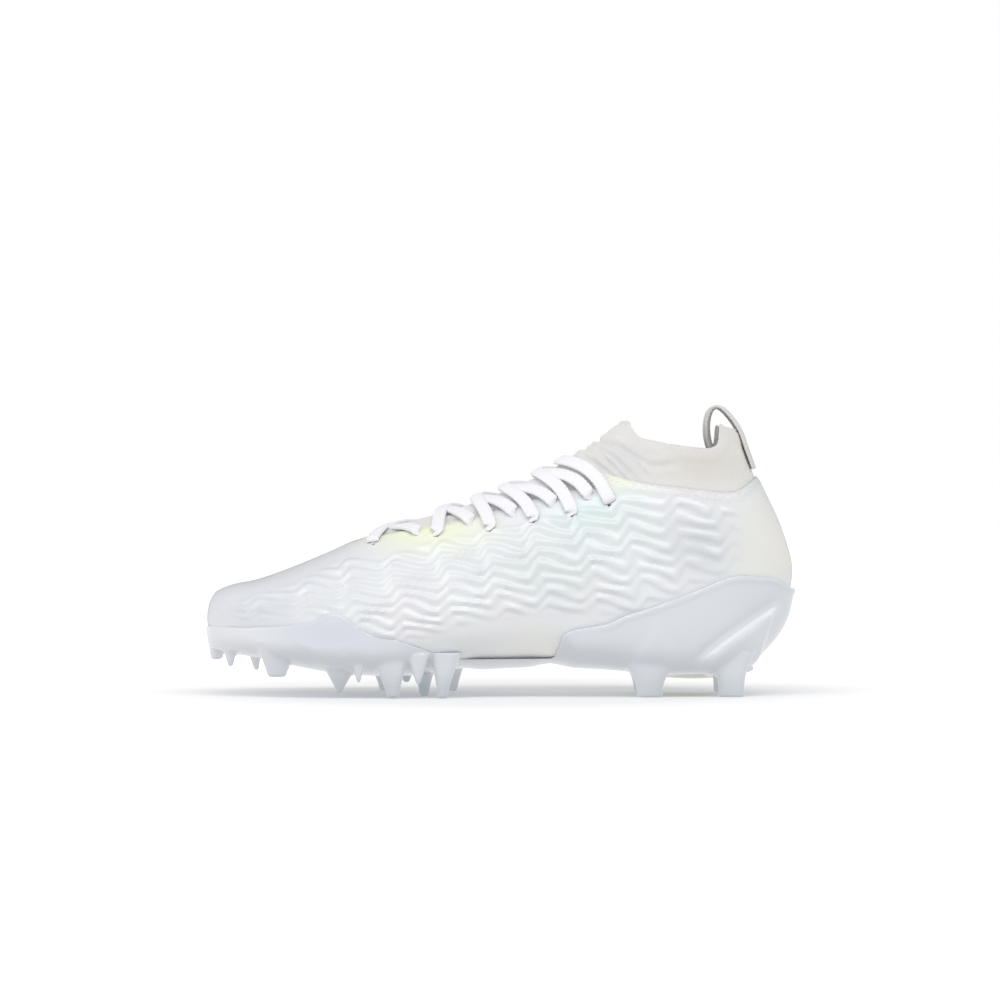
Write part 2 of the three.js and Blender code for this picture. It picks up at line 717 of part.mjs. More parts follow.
// The shoe as named pieces

const shoe = new THREE.Group();

function addPiece(name, solid, color, roughness) {
  const material = new THREE.MeshStandardMaterial({ color, roughness, metalness: 0 });
  const mesh = new THREE.Mesh(toGeometry(solid), material);
  mesh.name = name;
  shoe.add(mesh);
}

addPiece("upper", makeUpper(), 0xeef1f1, 0.45);
addPiece("sock", makeSock(), 0xf0ece4, 0.9);
addPiece("outsole", makeOutsole(), 0xe4eaf4, 0.25);
addPiece("footbed", makeFootbed(), 0xe8e8ea, 0.95);
LACE_CROSSINGS.forEach((crossing, index) => {
  addPiece(`lace_crossing_${index + 1}`, makeCrossing(crossing), 0xf6f5fa, 0.8);
});
addPiece("lace_top_bar", makeTopBar(), 0xf6f5fa, 0.8);
addPiece("pull_loop", makeLoop(), 0xe6dfd2, 0.8);

export default shoe;
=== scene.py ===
# %% [markdown]
# # A knit football cleat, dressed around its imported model
#
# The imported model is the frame: it holds every piece at its real size, in metres, standing on z = 0.
# It is made of flat facets, so this lesson makes each piece again as a fine surface in the same place.
# The toe points to -X, the heel to +X, and the outer side of the foot faces -Y, towards the camera.

import math

import bpy
import numpy as np
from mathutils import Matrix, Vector
from mathutils.bvhtree import BVHTree


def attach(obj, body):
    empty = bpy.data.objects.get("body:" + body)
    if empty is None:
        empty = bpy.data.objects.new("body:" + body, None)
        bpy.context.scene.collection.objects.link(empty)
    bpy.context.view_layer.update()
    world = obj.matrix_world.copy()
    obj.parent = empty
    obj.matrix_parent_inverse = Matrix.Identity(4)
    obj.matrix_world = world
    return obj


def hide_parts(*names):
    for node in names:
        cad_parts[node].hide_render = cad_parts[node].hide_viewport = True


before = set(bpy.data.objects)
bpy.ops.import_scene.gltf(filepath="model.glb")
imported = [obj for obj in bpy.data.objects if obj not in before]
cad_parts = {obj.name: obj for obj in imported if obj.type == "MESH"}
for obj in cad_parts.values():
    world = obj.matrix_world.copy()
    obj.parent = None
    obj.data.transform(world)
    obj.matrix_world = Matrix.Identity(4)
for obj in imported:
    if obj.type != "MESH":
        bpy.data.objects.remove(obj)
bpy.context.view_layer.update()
print("frame nodes:", sorted(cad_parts))

# %% [markdown]
# ## Camera
#
# The photograph is a level product shot from straight beside the shoe. A long lens two metres away
# keeps the studs of both sides almost in line. The camera looks along +Y at a little under the collar's
# height, so the floor is seen edge on, as in the photograph.

# %% Camera
MM = 0.001
CAMERA_DISTANCE = 2000 * MM
CAMERA_HEIGHT = 95.6 * MM
CAMERA_SIDEWAYS = -0.12 * MM
VIEW_WIDTH = 491.5 * MM

camera_data = bpy.data.cameras.new("camera")
camera_data.sensor_width = 36
camera_data.lens = camera_data.sensor_width * CAMERA_DISTANCE / VIEW_WIDTH
camera = bpy.data.objects.new("camera", camera_data)
camera.location = (CAMERA_SIDEWAYS, -CAMERA_DISTANCE, CAMERA_HEIGHT)
camera.rotation_euler = (math.radians(90), 0, 0)
bpy.context.collection.objects.link(camera)
bpy.context.scene.camera = camera
print(f"lens {camera_data.lens:.1f} mm")

# %% [markdown]
# ## Light and floor
#
# White relief on a white ground shows only by its shading, so the light comes from above and the ground
# gives little back. The sky is white in a band at the horizon, where the camera sees it, softer overhead and
# dim below. A long softbox high in front draws a bright streak on the upper face of every rib. The Standard
# view transform leaves white as white, where the default one would bend it to grey.

# %% Sky
SKY_BANDS = [
    # height of the direction from -1 below to 1 overhead, strength
    (-1.00, 0.42),
    (-0.65, 0.88),
    (-0.30, 1.00),
    (-0.13, 1.00),
    (0.15, 1.00),
    (0.30, 0.62),
    (0.60, 0.55),
    (1.00, 0.62),
]

scene = bpy.context.scene
scene.view_settings.view_transform = "Standard"
world = bpy.data.worlds.new("studio")
scene.world = world
world.use_nodes = True
sky = world.node_tree
background = sky.nodes["Background"]
direction = sky.nodes.new("ShaderNodeTexCoord")
split = sky.nodes.new("ShaderNodeSeparateXYZ")
height = sky.nodes.new("ShaderNodeMapRange")
height.inputs["From Min"].default_value = -1
bands = sky.nodes.new("ShaderNodeValToRGB")
stops = bands.color_ramp.elements
while len(stops) < len(SKY_BANDS):
    stops.new(0.5)
for stop, (level, strength) in zip(stops, SKY_BANDS):
    stop.position = (level + 1) / 2
    stop.color = (strength, strength, strength, 1)
sky.links.new(direction.outputs["Generated"], split.inputs["Vector"])
sky.links.new(split.outputs["Z"], height.inputs["Value"])
sky.links.new(height.outputs["Result"], bands.inputs["Fac"])
sky.links.new(bands.outputs["Color"], background.inputs["Color"])
print("sky with", len(stops), "bands")

# %% Softboxes and floor
def softbox(name, place, size, power):
    data = bpy.data.lights.new(name, "AREA")
    data.shape = "RECTANGLE"
    data.size, data.size_y = size
    data.energy = power
    lamp = bpy.data.objects.new(name, data)
    lamp.location = place
    aim = Vector((0, 0, 0.05)) - Vector(place)
    lamp.rotation_euler = aim.to_track_quat("-Z", "Y").to_euler()
    bpy.context.collection.objects.link(lamp)
    return lamp


softbox("softbox_high_front", (0.05, -0.60, 1.0), (1.3, 0.40), 5.0)
softbox("softbox_toe_side", (-1.0, -0.5, 0.7), (0.5, 0.5), 1.2)

FLOOR_HALF = 12
FLOOR_GLOW_NEAR = 0.08
FLOOR_GLOW_FAR = 0.85
floor_mesh = bpy.data.meshes.new("floor")
floor_corners = [(-FLOOR_HALF, -FLOOR_HALF, 0), (FLOOR_HALF, -FLOOR_HALF, 0),
                 (FLOOR_HALF, FLOOR_HALF, 0), (-FLOOR_HALF, FLOOR_HALF, 0)]
floor_mesh.from_pydata(floor_corners, [], [(0, 1, 2, 3)])
floor = bpy.data.objects.new("floor", floor_mesh)
bpy.context.collection.objects.link(floor)
floor_paint = bpy.data.materials.new("floor_paint")
floor_paint.use_nodes = True
floor_shader = floor_paint.node_tree.nodes["Principled BSDF"]
floor_shader.inputs["Base Color"].default_value = (0.88, 0.88, 0.885, 1)
floor_shader.inputs["Roughness"].default_value = 0.9
floor_shader.inputs["Specular IOR Level"].default_value = 0.0
floor_shader.inputs["Emission Color"].default_value = (1, 1, 1, 1)
floor_place = floor_paint.node_tree.nodes.new("ShaderNodeTexCoord")
floor_reach = floor_paint.node_tree.nodes.new("ShaderNodeVectorMath")
floor_reach.operation = "LENGTH"
floor_glow = floor_paint.node_tree.nodes.new("ShaderNodeMapRange")
floor_glow.inputs["From Min"].default_value = 0.10
floor_glow.inputs["From Max"].default_value = 0.50
floor_glow.inputs["To Min"].default_value = FLOOR_GLOW_NEAR
floor_glow.inputs["To Max"].default_value = FLOOR_GLOW_FAR
floor_paint.node_tree.links.new(floor_place.outputs["Object"], floor_reach.inputs[0])
floor_paint.node_tree.links.new(floor_reach.outputs["Value"], floor_glow.inputs["Value"])
floor_paint.node_tree.links.new(floor_glow.outputs["Result"], floor_shader.inputs["Emission Strength"])
floor.data.materials.append(floor_paint)
floor.visible_diffuse = False
floor.visible_glossy = False
print("floor and two softboxes in place")

# %% [markdown]
# ## The last
#
# A shoemaker starts from the last, the solid foot shape that everything is pulled over. Here the last is a
# function: a row of leaning ovals from the toe to the top of the ankle, joined by smooth curves. Upper,
# sock and sole are all grown or shrunk from it, so they fit each other everywhere.

# %% Sizes and sections of the last
LENGTH = 290 * MM
BALL_WIDTH = 97 * MM
HEEL_WIDTH = 67 * MM
UPPER_HEIGHT = 110 * MM
RIDE_HEIGHT = 12 * MM
UPPER_WALL = 1.6 * MM
SOCK_WALL = 1.6 * MM
SOLE_WALL = 2 * MM
CLEARANCE = 0.3 * MM

FOOT_SECTIONS = [
    # base x, z, top x, z, half, middle, crown, widest, low, high, sole
    (-0.4935, 0.173, -0.4975, 0.264, 0.070, 0.085, 0.085, 0.50, 2.0, 2.0, 2.0),
    (-0.4905, 0.127, -0.4935, 0.310, 0.150, 0.083, 0.083, 0.46, 2.1, 2.1, 2.2),
    (-0.4810, 0.105, -0.4820, 0.353, 0.225, 0.075, 0.078, 0.42, 2.3, 2.2, 2.5),
    (-0.4550, 0.095, -0.4540, 0.384, 0.308, 0.060, 0.066, 0.38, 2.5, 2.2, 2.9),
    (-0.4100, 0.078, -0.4100, 0.409, 0.385, 0.042, 0.050, 0.36, 2.6, 2.2, 3.2),
    (-0.3520, 0.047, -0.3550, 0.460, 0.447, 0.022, 0.040, 0.34, 2.6, 2.1, 3.4),
    (-0.2830, 0.015, -0.2900, 0.531, 0.488, 0.006, 0.032, 0.33, 2.6, 2.0, 3.4),
    (-0.2070, 0.000, -0.2210, 0.612, 0.500, -0.010, 0.026, 0.33, 2.6, 1.95, 3.2),
    (-0.1240, 0.004, -0.1520, 0.667, 0.482, -0.023, 0.021, 0.34, 2.5, 1.9, 2.8),
    (-0.0340, 0.024, -0.0830, 0.716, 0.443, -0.029, 0.015, 0.37, 2.4, 1.85, 2.4),
    (0.0620, 0.035, -0.0170, 0.777, 0.408, -0.027, 0.010, 0.40, 2.3, 1.85, 2.4),
    (0.1590, 0.029, 0.0450, 0.845, 0.386, -0.019, 0.005, 0.42, 2.3, 1.85, 3.4),
    (0.2480, 0.013, 0.0970, 0.914, 0.371, -0.010, 0.000, 0.40, 2.3, 1.85, 4.4),
    (0.3380, 0.007, 0.1380, 0.990, 0.359, -0.004, 0.000, 0.38, 2.3, 1.85, 4.4),
]
ANKLE_SECTIONS = [
    (0.4120, 0.041, 0.1660, 1.050, 0.504, 0, 0, 0.38, 2.2, 1.9, 3.2),
    (0.4520, 0.127, 0.1830, 1.090, 0.493, 0, 0, 0.40, 2.2, 1.9, 2.4),
    (0.4780, 0.227, 0.1950, 1.113, 0.478, 0, 0, 0.43, 2.2, 1.95, 2.2),
    (0.4895, 0.345, 0.2030, 1.130, 0.464, 0, 0, 0.46, 2.2, 2.0, 2.2),
    (0.4950, 0.455, 0.2100, 1.143, 0.450, 0, 0, 0.48, 2.2, 2.0, 2.2),
    (0.4850, 0.573, 0.2150, 1.155, 0.436, 0, 0, 0.50, 2.2, 2.05, 2.2),
    (0.4670, 0.695, 0.2180, 1.166, 0.422, 0, 0, 0.50, 2.2, 2.1, 2.2),
    (0.4465, 0.809, 0.2210, 1.178, 0.410, 0, 0, 0.50, 2.2, 2.1, 2.2),
    (0.4275, 0.927, 0.2240, 1.193, 0.400, 0, 0, 0.50, 2.2, 2.1, 2.2),
    (0.4110, 1.055, 0.2260, 1.209, 0.392, 0, 0, 0.50, 2.2, 2.1, 2.2),
    (0.3950, 1.191, 0.2275, 1.236, 0.388, 0, 0, 0.50, 2.2, 2.1, 2.2),
]


def read_section(row, width):
    base_x, base_z, top_x, top_z, half, middle, crown, *shape = row
    heights = (RIDE_HEIGHT + base_z * UPPER_HEIGHT, RIDE_HEIGHT + top_z * UPPER_HEIGHT)
    ends = [base_x * LENGTH, heights[0], top_x * LENGTH, heights[1]]
    return ends + [half * width, middle * width, crown * width] + list(shape)


sections = np.array([read_section(row, BALL_WIDTH) for row in FOOT_SECTIONS]
                    + [read_section(row, HEEL_WIDTH) for row in ANKLE_SECTIONS])
print(len(sections), "sections")

# %% Smooth curve through the sections
def section_at(position):
    """Sections at places along the last: 0 is the first row of the tables, 1 the second."""
    last = len(sections) - 1
    start = np.clip(np.floor(position).astype(int), 0, last - 1)
    t = (position - start)[:, None]
    a, b, c, d = (sections[np.clip(start + k, 0, last)] for k in (-1, 0, 1, 2))
    slope_in, slope_out, rise = (c - a) / 2, (d - b) / 2, c - b
    square = 3 * rise - 2 * slope_in - slope_out
    cube = slope_in + slope_out - 2 * rise
    return b + t * (slope_in + t * (square + t * cube))


def oval_points(rows, turns, is_sole):
    """Points of the leaning ovals. The turn runs from the base over the outer side to the top."""
    base_x, base_z, top_x, top_z, half, middle, crown, widest, low, high, sole = rows.T[:, :, None]
    across, up = np.cos(turns), np.sin(turns)
    power = 2 / np.where(up < 0, sole if is_sole else low, high)
    reach = np.where(up < 0, widest, 1 - widest)
    rise = widest + np.sign(up) * reach * np.abs(up) ** power
    sway = middle + (crown - middle) * rise
    return np.stack([
        base_x + (top_x - base_x) * rise,
        sway - np.sign(across) * half * np.abs(across) ** power,
        base_z + (top_z - base_z) * rise,
    ], axis=-1)


def even_out(rings, count, floor_level=None):
    """The same closed rings with points at equal distances, and few of them below a floor level."""
    loop = np.concatenate([rings, rings[:, :1]], axis=1)
    steps = np.linalg.norm(np.diff(loop, axis=1), axis=2)
    if floor_level is not None:
        steps = steps * np.interp(loop[:, 1:, 2], (floor_level - 7 * MM, floor_level), (0.3, 1.0))
    lengths = np.concatenate([np.zeros((len(rings), 1)), np.cumsum(steps, axis=1)], axis=1)
    evened = np.empty((len(rings), count, 3))
    for k, (points, run) in enumerate(zip(loop, lengths)):
        wanted = np.linspace(0, run[-1], count, endpoint=False)
        for axis in range(3):
            evened[k, :, axis] = np.interp(wanted, run, points[:, axis])
    return evened


FINE_TURNS = 1440


def form_grid(step, around, is_sole=False, floor_level=None):
    """A fine grid over the last: rings about a step apart, each with the same number of points."""
    probe = np.linspace(0, len(sections) - 1, 1200)
    rows = section_at(probe)
    travel = np.maximum(np.hypot(*np.diff(rows[:, 0:2], axis=0).T), np.hypot(*np.diff(rows[:, 2:4], axis=0).T))
    run = np.concatenate([[0], np.cumsum(travel)])
    stations = np.interp(np.linspace(0, run[-1], round(run[-1] / step)), run, probe)
    turns = -np.pi / 2 + np.linspace(0, 2 * np.pi, FINE_TURNS, endpoint=False)
    return even_out(oval_points(section_at(stations), turns, is_sole), around, floor_level)


def grid_normals(grid):
    along = np.gradient(grid, axis=0)
    around = np.roll(grid, -1, axis=1) - np.roll(grid, 1, axis=1)
    normals = np.cross(along, around)
    return normals / np.maximum(np.linalg.norm(normals, axis=2, keepdims=True), 1e-12)


coarse_last = form_grid(4 * MM, 96)
print("last, coarse grid:", coarse_last.shape[:2])

# %% [markdown]
# ## Meshes from rings, and cuts between them
#
# Rings of points become a closed mesh when neighbouring rings are joined by quads and each end gets a fan.
# Closed meshes can be cut and joined with the Boolean modifier. Its Manifold solver is fast and exact as
# long as both meshes are watertight, and ring meshes are.

# %% Mesh helpers
def ring_mesh(name, rings):
    """A closed mesh through rings with equal numbers of points."""
    count, around = rings.shape[:2]
    points = np.concatenate([rings.reshape(-1, 3), [rings[0].mean(axis=0)], [rings[-1].mean(axis=0)]])
    index = np.arange(count * around).reshape(count, around)
    beside = np.roll(index, -1, axis=1)
    quads = np.stack([index[:-1], index[1:], beside[1:], beside[:-1]], axis=-1).reshape(-1, 4)
    first, last = count * around, count * around + 1
    start_fan = [(first, a, b) for a, b in zip(index[0], beside[0])]
    end_fan = [(last, b, a) for a, b in zip(index[-1], beside[-1])]
    return new_piece(name, points, quads.tolist() + start_fan + end_fan)


def new_piece(name, points, faces):
    mesh = bpy.data.meshes.new(name)
    mesh.from_pydata(np.asarray(points).tolist(), [], faces)
    mesh.update()
    piece = bpy.data.objects.new(name, mesh)
    bpy.context.collection.objects.link(piece)
    return face_outwards(piece)


def face_outwards(piece):
    """Turns the faces round if the mesh is inside out, which a negative volume shows."""
    mesh = piece.data
    mesh.calc_loop_triangles()
    points = np.empty(len(mesh.vertices) * 3)
    mesh.vertices.foreach_get("co", points)
    corners = np.empty(len(mesh.loop_triangles) * 3, dtype=np.int32)
    mesh.loop_triangles.foreach_get("vertices", corners)
    a, b, c = points.reshape(-1, 3)[corners.reshape(-1, 3)].transpose(1, 0, 2)
    if np.einsum("ij,ij->i", a, np.cross(b, c)).sum() < 0:
        mesh.flip_normals()
    return piece


def bake_modifiers(piece):
    graph = bpy.context.evaluated_depsgraph_get()
    baked = bpy.data.meshes.new_from_object(piece.evaluated_get(graph))
    piece.modifiers.clear()
    piece.data = baked
    return piece


def combine(piece, tool, operation):
    """Joins, cuts or intersects a piece with a tool, and throws the tool away."""
    modifier = piece.modifiers.new("combine", "BOOLEAN")
    modifier.operation = operation
    modifier.solver = "MANIFOLD"
    modifier.object = tool
    bake_modifiers(piece)
    bpy.data.objects.remove(tool)
    return piece


def triangle_count(piece):
    return sum(len(face.vertices) - 2 for face in piece.data.polygons)


def smooth_shading(piece, angle=32):
    piece.data.shade_smooth()
    piece.data.set_sharp_from_angle(angle=math.radians(angle))


# %% Lines and blocks
def place(x, z):
    """A place in the side view, from shares of the length and of the upper's height."""
    return (x * LENGTH, RIDE_HEIGHT + z * UPPER_HEIGHT)


def smooth_line(points, step=1.2 * MM):
    """A Catmull-Rom curve through the points, in steps of equal length."""
    points = np.asarray(points, dtype=float)
    padded = np.concatenate([[2 * points[0] - points[1]], points, [2 * points[-1] - points[-2]]])
    t = np.linspace(0, 1, 24, endpoint=False)[:, None]
    parts = []
    for a, b, c, d in zip(padded, padded[1:], padded[2:], padded[3:]):
        parts.append(b + t * ((c - a) / 2 + t * ((2 * a - 5 * b + 4 * c - d) / 2 + t * (3 * (b - c) + d - a) / 2)))
    fine = np.concatenate(parts + [points[-1:]])
    run = np.concatenate([[0], np.cumsum(np.linalg.norm(np.diff(fine, axis=0), axis=1))])
    wanted = np.linspace(0, run[-1], max(round(run[-1] / step), 2))
    return np.stack([np.interp(wanted, run, fine[:, k]) for k in range(fine.shape[1])], axis=1)


def block(name, outline, low, high, axis):
    """A flat outline made into a block: along Y for a side view, along Z for a plan."""
    ends = [[(a, level, b) if axis == "Y" else (a, b, level) for a, b in outline] for level in (low, high)]
    count = len(outline)
    sides = [(k, (k + 1) % count, count + (k + 1) % count, count + k) for k in range(count)]
    caps = [tuple(reversed(range(count))), tuple(range(count, 2 * count))]
    return new_piece(name, ends[0] + ends[1], sides + caps)


def side_block(name, outline):
    return block(name, [tuple(p) for p in outline], -2 * BALL_WIDTH, 2 * BALL_WIDTH, "Y")


def above(name, line, drop=0.0):
    top = RIDE_HEIGHT + 2 * UPPER_HEIGHT
    raised = [(x, z - drop) for x, z in line]
    return side_block(name, raised + [(raised[-1][0], top), (raised[0][0], top)])


def below(name, line):
    bottom = -RIDE_HEIGHT
    return side_block(name, list(map(tuple, line)) + [(line[-1][0], bottom), (line[0][0], bottom)])


def smoothstep(value, low, high):
    share = np.clip((value - low) / (high - low), 0, 1)
    return share * share * (3 - 2 * share)


def line_distance(x, z, line):
    """Distance in the side view to a line, and how far along it the nearest point lies, 0 to 1."""
    best = np.full(x.shape, np.inf)
    where = np.zeros(x.shape)
    line = np.asarray(line)
    for k, (a, b) in enumerate(zip(line[:-1], line[1:])):
        run = b - a
        share = np.clip(((x - a[0]) * run[0] + (z - a[1]) * run[1]) / max(run @ run, 1e-12), 0, 1)
        gap = np.hypot(x - a[0] - share * run[0], z - a[1] - share * run[1])
        nearer = gap < best
        best = np.where(nearer, gap, best)
        where = np.where(nearer, (k + share) / (len(line) - 1), where)
    return best, where


def inside(x, z, outline):
    """True where side-view points lie inside a closed outline."""
    hit = np.zeros(x.shape, dtype=bool)
    for (x0, z0), (x1, z1) in zip(outline, np.roll(outline, -1, axis=0)):
        crosses = (z0 > z) != (z1 > z)
        slope = (x1 - x0) / (z1 - z0 if abs(z1 - z0) > 1e-12 else 1e-12)
        hit ^= crosses & (x < x0 + slope * (z - z0))
    return hit


COLLAR_LINE = smooth_line([place(*p) for p in [
    (0.150, 0.897), (0.207, 0.854), (0.254, 0.829), (0.322, 0.808), (0.372, 0.794), (0.398, 0.802),
    (0.423, 0.844), (0.446, 0.890), (0.490, 0.950)]])
THROAT = smooth_line([(x * LENGTH, half * BALL_WIDTH) for x, half in [
    (-0.246, 0.000), (-0.240, 0.045), (-0.222, 0.085), (-0.190, 0.115), (-0.120, 0.150),
    (0.000, 0.178), (0.100, 0.200), (0.160, 0.225)]])
print("collar line", len(COLLAR_LINE), "points, throat", len(THROAT))

# %% [markdown]
# ## Lacing table
#
# The laces rest on the crown of the instep, so their places are found by a ray shot down onto the last.
# The same places give the punched holes in the shell and the small dents that the tight lace presses.

# %% Where the laces go
LACE_WIDTH = 6.4 * MM
LACE_THICKNESS = 2.1 * MM
HOLE_DIAMETER = 3.2 * MM
LACE_CROSSINGS = [
    # front hole x, rear hole x, crossing x, front side, rear side, stand-off
    (-0.213, -0.140, -0.190, 0.190, 0.200, -0.8),
    (-0.106, -0.051, -0.092, 0.232, 0.205, 0.0),
    (-0.017, 0.020, -0.036, 0.262, 0.222, 0.0),
    (0.055, 0.087, 0.010, 0.268, 0.232, 0.0),
    (0.119, 0.147, 0.066, 0.275, 0.240, 0.0),
]
TOP_BAR = {"hole": 0.182, "middle": 0.104, "side": 0.268, "stand_off": 0.2}

last_grid = form_grid(2.5 * MM, 160)
ring_count, ring_points = last_grid.shape[:2]
last_index = np.arange(ring_count * ring_points).reshape(ring_count, ring_points)
last_beside = np.roll(last_index, -1, axis=1)
last_quads = np.stack([last_index[:-1], last_index[1:], last_beside[1:], last_beside[:-1]], axis=-1)
last_tree = BVHTree.FromPolygons(last_grid.reshape(-1, 3).tolist(), last_quads.reshape(-1, 4).tolist())


def crown_at(x, y):
    """The last's upper face over a place in plan: the point and the direction it faces."""
    point, normal, _, _ = last_tree.ray_cast(Vector((x, y, 1)), Vector((0, 0, -1)))
    return np.array(point), np.array(normal if normal.z > 0 else -normal)


def hole_places():
    places = []
    for front, rear, _, front_side, rear_side, _ in LACE_CROSSINGS:
        places += [(front, front_side), (rear, rear_side)]
    places.append((TOP_BAR["hole"], TOP_BAR["side"]))
    return [(x * LENGTH, sign * side * BALL_WIDTH) for x, side in places for sign in (-1, 1)]


holes = [crown_at(x, y) for x, y in hole_places()]
print(len(holes), "lace holes")

# %% [markdown]
# ## Zigzag ribs on the shell
#
# The shell is a thin film fused to knit over raised ribs. The ribs are real relief, so they belong in the
# mesh and not only in a bump: their shadows have to move with the light. Each rib runs level along the
# shoe and climbs in short steep steps. The rows fan out slowly from a far point before the toe, so that they
# follow the sole below and the throat above.

# %% Rib pattern
RIB_HEIGHT = 1.25 * MM
RIB_STEP_LOW = 0.42
RIB_FAN_X = -351 * MM
RIB_FAN_Z = 16 * MM
RIB_SPREAD = 0.0164
RIB_WAVE = 23.5 * MM
RIB_STEP_X = 18.2 * MM
RIB_STEP_Z = 57 * MM
RIB_LEAN = 0.22
RIB_SWING = 0.9
RIB_STEEP = 0.34
RIB_BACK = 0.58
RIB_WOBBLE = 0.20
RIB_UNEVEN = 0.38
RIB_TOP = smooth_line(np.array([(-150, 36), (-123, 47.4), (-98.4, 55.3), (-76.3, 66.1), (-54.2, 68.6),
                                (-29.6, 75.9), (19.5, 85.8), (58.9, 95.6), (78.5, 97.5), (98.2, 94.0),
                                (112, 93.0), (124, 91)]) * MM)
RIB_FOOT = smooth_line(np.array([(-150, 34), (-135.3, 36.0), (-83.7, 38.5), (-59.1, 29.5), (-44.4, 26.8),
                                 (-24.7, 33.0), (0, 38.0), (29.4, 40.5), (58.9, 40.5), (80, 47),
                                 (110, 60), (124, 64)]) * MM)


def ripple(x, z, long, seed):
    """A calm irregular wave between -1 and 1, from a few crossed sines."""
    a = np.sin((x + 0.7 * z) / long + seed)
    b = np.sin((0.8 * x - 1.3 * z) / (0.61 * long) + 2.3 * seed)
    c = np.sin((1.1 * z - 0.4 * x) / (0.37 * long) + 4.1 * seed)
    return (a + b + c) / 3


def rib_phase(x, z):
    """Where a point lies in the wave of its rib, 0 to 1. The first part is the steep climb."""
    sway = 0.10 * ripple(x, z, 11 * MM, 3.0)
    return ((x - RIB_STEP_X + RIB_LEAN * (z - RIB_STEP_Z)) / RIB_WAVE + sway + RIB_STEEP / 2) % 1


def rib_rows(x, z):
    """Which row of ribs a side-view point lies on: whole numbers are the ridges."""
    row = (z - RIB_FAN_Z) / ((x - RIB_FAN_X) * RIB_SPREAD) + RIB_WOBBLE * ripple(x, z, 7 * MM, 1.0)
    u = rib_phase(x, z)
    climb = smoothstep(u, 0, RIB_STEEP)
    descent = smoothstep(u, RIB_STEEP, 1) * 0.35 + np.clip((u - RIB_STEEP) / (1 - RIB_STEEP), 0, 1) * 0.65
    return row - RIB_SWING * (climb - descent)


def rib_mask(x, z):
    """1 where the ribs are at full height, fading to 0 at the edges of the ribbed field."""
    top = np.interp(x, RIB_TOP[:, 0], RIB_TOP[:, 1])
    foot = np.interp(x, RIB_FOOT[:, 0], RIB_FOOT[:, 1])
    fade_top = smoothstep(top - z, -2 * MM, 2.5 * MM)
    fade_foot = smoothstep(z - foot, -1 * MM, 5 * MM)
    fade_toe = smoothstep(x, -139 * MM, -122 * MM)
    fade_heel = 1 - smoothstep(x, 106 * MM, 122 * MM)
    return fade_top * fade_foot * fade_toe * fade_heel


def rib_relief(x, z):
    """Each rib slopes gently on its upper face and drops steeply on its under face."""
    rise = rib_rows(x, z) % 1
    ridge = np.where(rise < RIB_BACK, 1 - smoothstep(rise, 0, RIB_BACK), smoothstep(rise, RIB_BACK, 1))
    u = rib_phase(x, z)
    climbing = smoothstep(u, 0, 0.3 * RIB_STEEP) * (1 - smoothstep(u, 0.7 * RIB_STEEP, RIB_STEEP))
    uneven = (1 + RIB_UNEVEN * ripple(x, z, 5 * MM, 2.0)) * (1 - RIB_STEP_LOW * climbing)
    return RIB_HEIGHT * uneven * ridge * rib_mask(x, z)


print("rib pitch at the heel end", round(1000 * RIB_SPREAD * (0.1 - RIB_FAN_X), 1), "mm")

# %% [markdown]
# ## The shell of the upper
#
# The fine grid of the last is moved outwards by the ribs and inwards near the edges, where the film thins
# out to the knit. Then the hollow, the collar, the throat, the opening underneath and the lace holes are cut
# as a maker would cut them. The wall is the real one, so the edge that shows at the throat is true.

# %% Shell
SHELL_STEP = 0.9 * MM
SHELL_AROUND = 264
SHELL_FLOOR = 20 * MM
EDGE_THIN = 0.75 * MM
LASTING_MARGIN = 13 * MM
LASTING_REACH = 1 * MM
EYE_SHIFT = 2.7 * MM
EYE_RADIUS = 0.9 * MM
FLUSH_SWELL = 0.5 * MM
FLUSH_REACH = 8 * MM
TOE_AND_BALL_WRAP = smooth_line([place(*p) for p in [
    (-0.520, 0.205), (-0.434, 0.200), (-0.367, 0.206), (-0.314, 0.225), (-0.291, 0.257), (-0.268, 0.258),
    (-0.246, 0.224), (-0.231, 0.195), (-0.201, 0.160), (-0.173, 0.150), (-0.125, 0.105), (-0.067, 0.040)]])


def collar_depth(x, z):
    """How far below the shell's collar edge a side-view point lies."""
    reach = np.interp(x, COLLAR_LINE[:, 0], COLLAR_LINE[:, 1])
    gap, _ = line_distance(x, z, COLLAR_LINE)
    return np.where((z > reach) & (x > COLLAR_LINE[0, 0]), -gap, gap)


def throat_depth(x, y, z):
    """How far outside the throat's edge a point of the upper side lies, seen from above."""
    edge = np.concatenate([THROAT, THROAT[::-1] * (1, -1)])
    gap, _ = line_distance(x, y, edge)
    return np.where(z > 60 * MM, gap, 1.0)


def shell_offset(points):
    x, y, z = points[..., 0], points[..., 1], points[..., 2]
    offset = rib_relief(x, z)
    edge = np.minimum(np.abs(collar_depth(x, z)), throat_depth(x, y, z))
    offset -= EDGE_THIN * (1 - smoothstep(edge, 0, 4 * MM))
    wrap_gap, _ = line_distance(x, z, TOE_AND_BALL_WRAP)
    over = z > np.interp(x, TOE_AND_BALL_WRAP[:, 0], TOE_AND_BALL_WRAP[:, 1])
    offset += FLUSH_SWELL * (1 - smoothstep(wrap_gap, 0, FLUSH_REACH)) * over * (x < 0)
    for point, _ in holes:
        gap = np.linalg.norm(points - point, axis=-1)
        offset -= 0.35 * MM * np.exp(-(gap / (2.6 * MM)) ** 2)
    return offset


def grown(grid, offset):
    return grid + grid_normals(grid) * (offset if np.isscalar(offset) else offset[..., None])


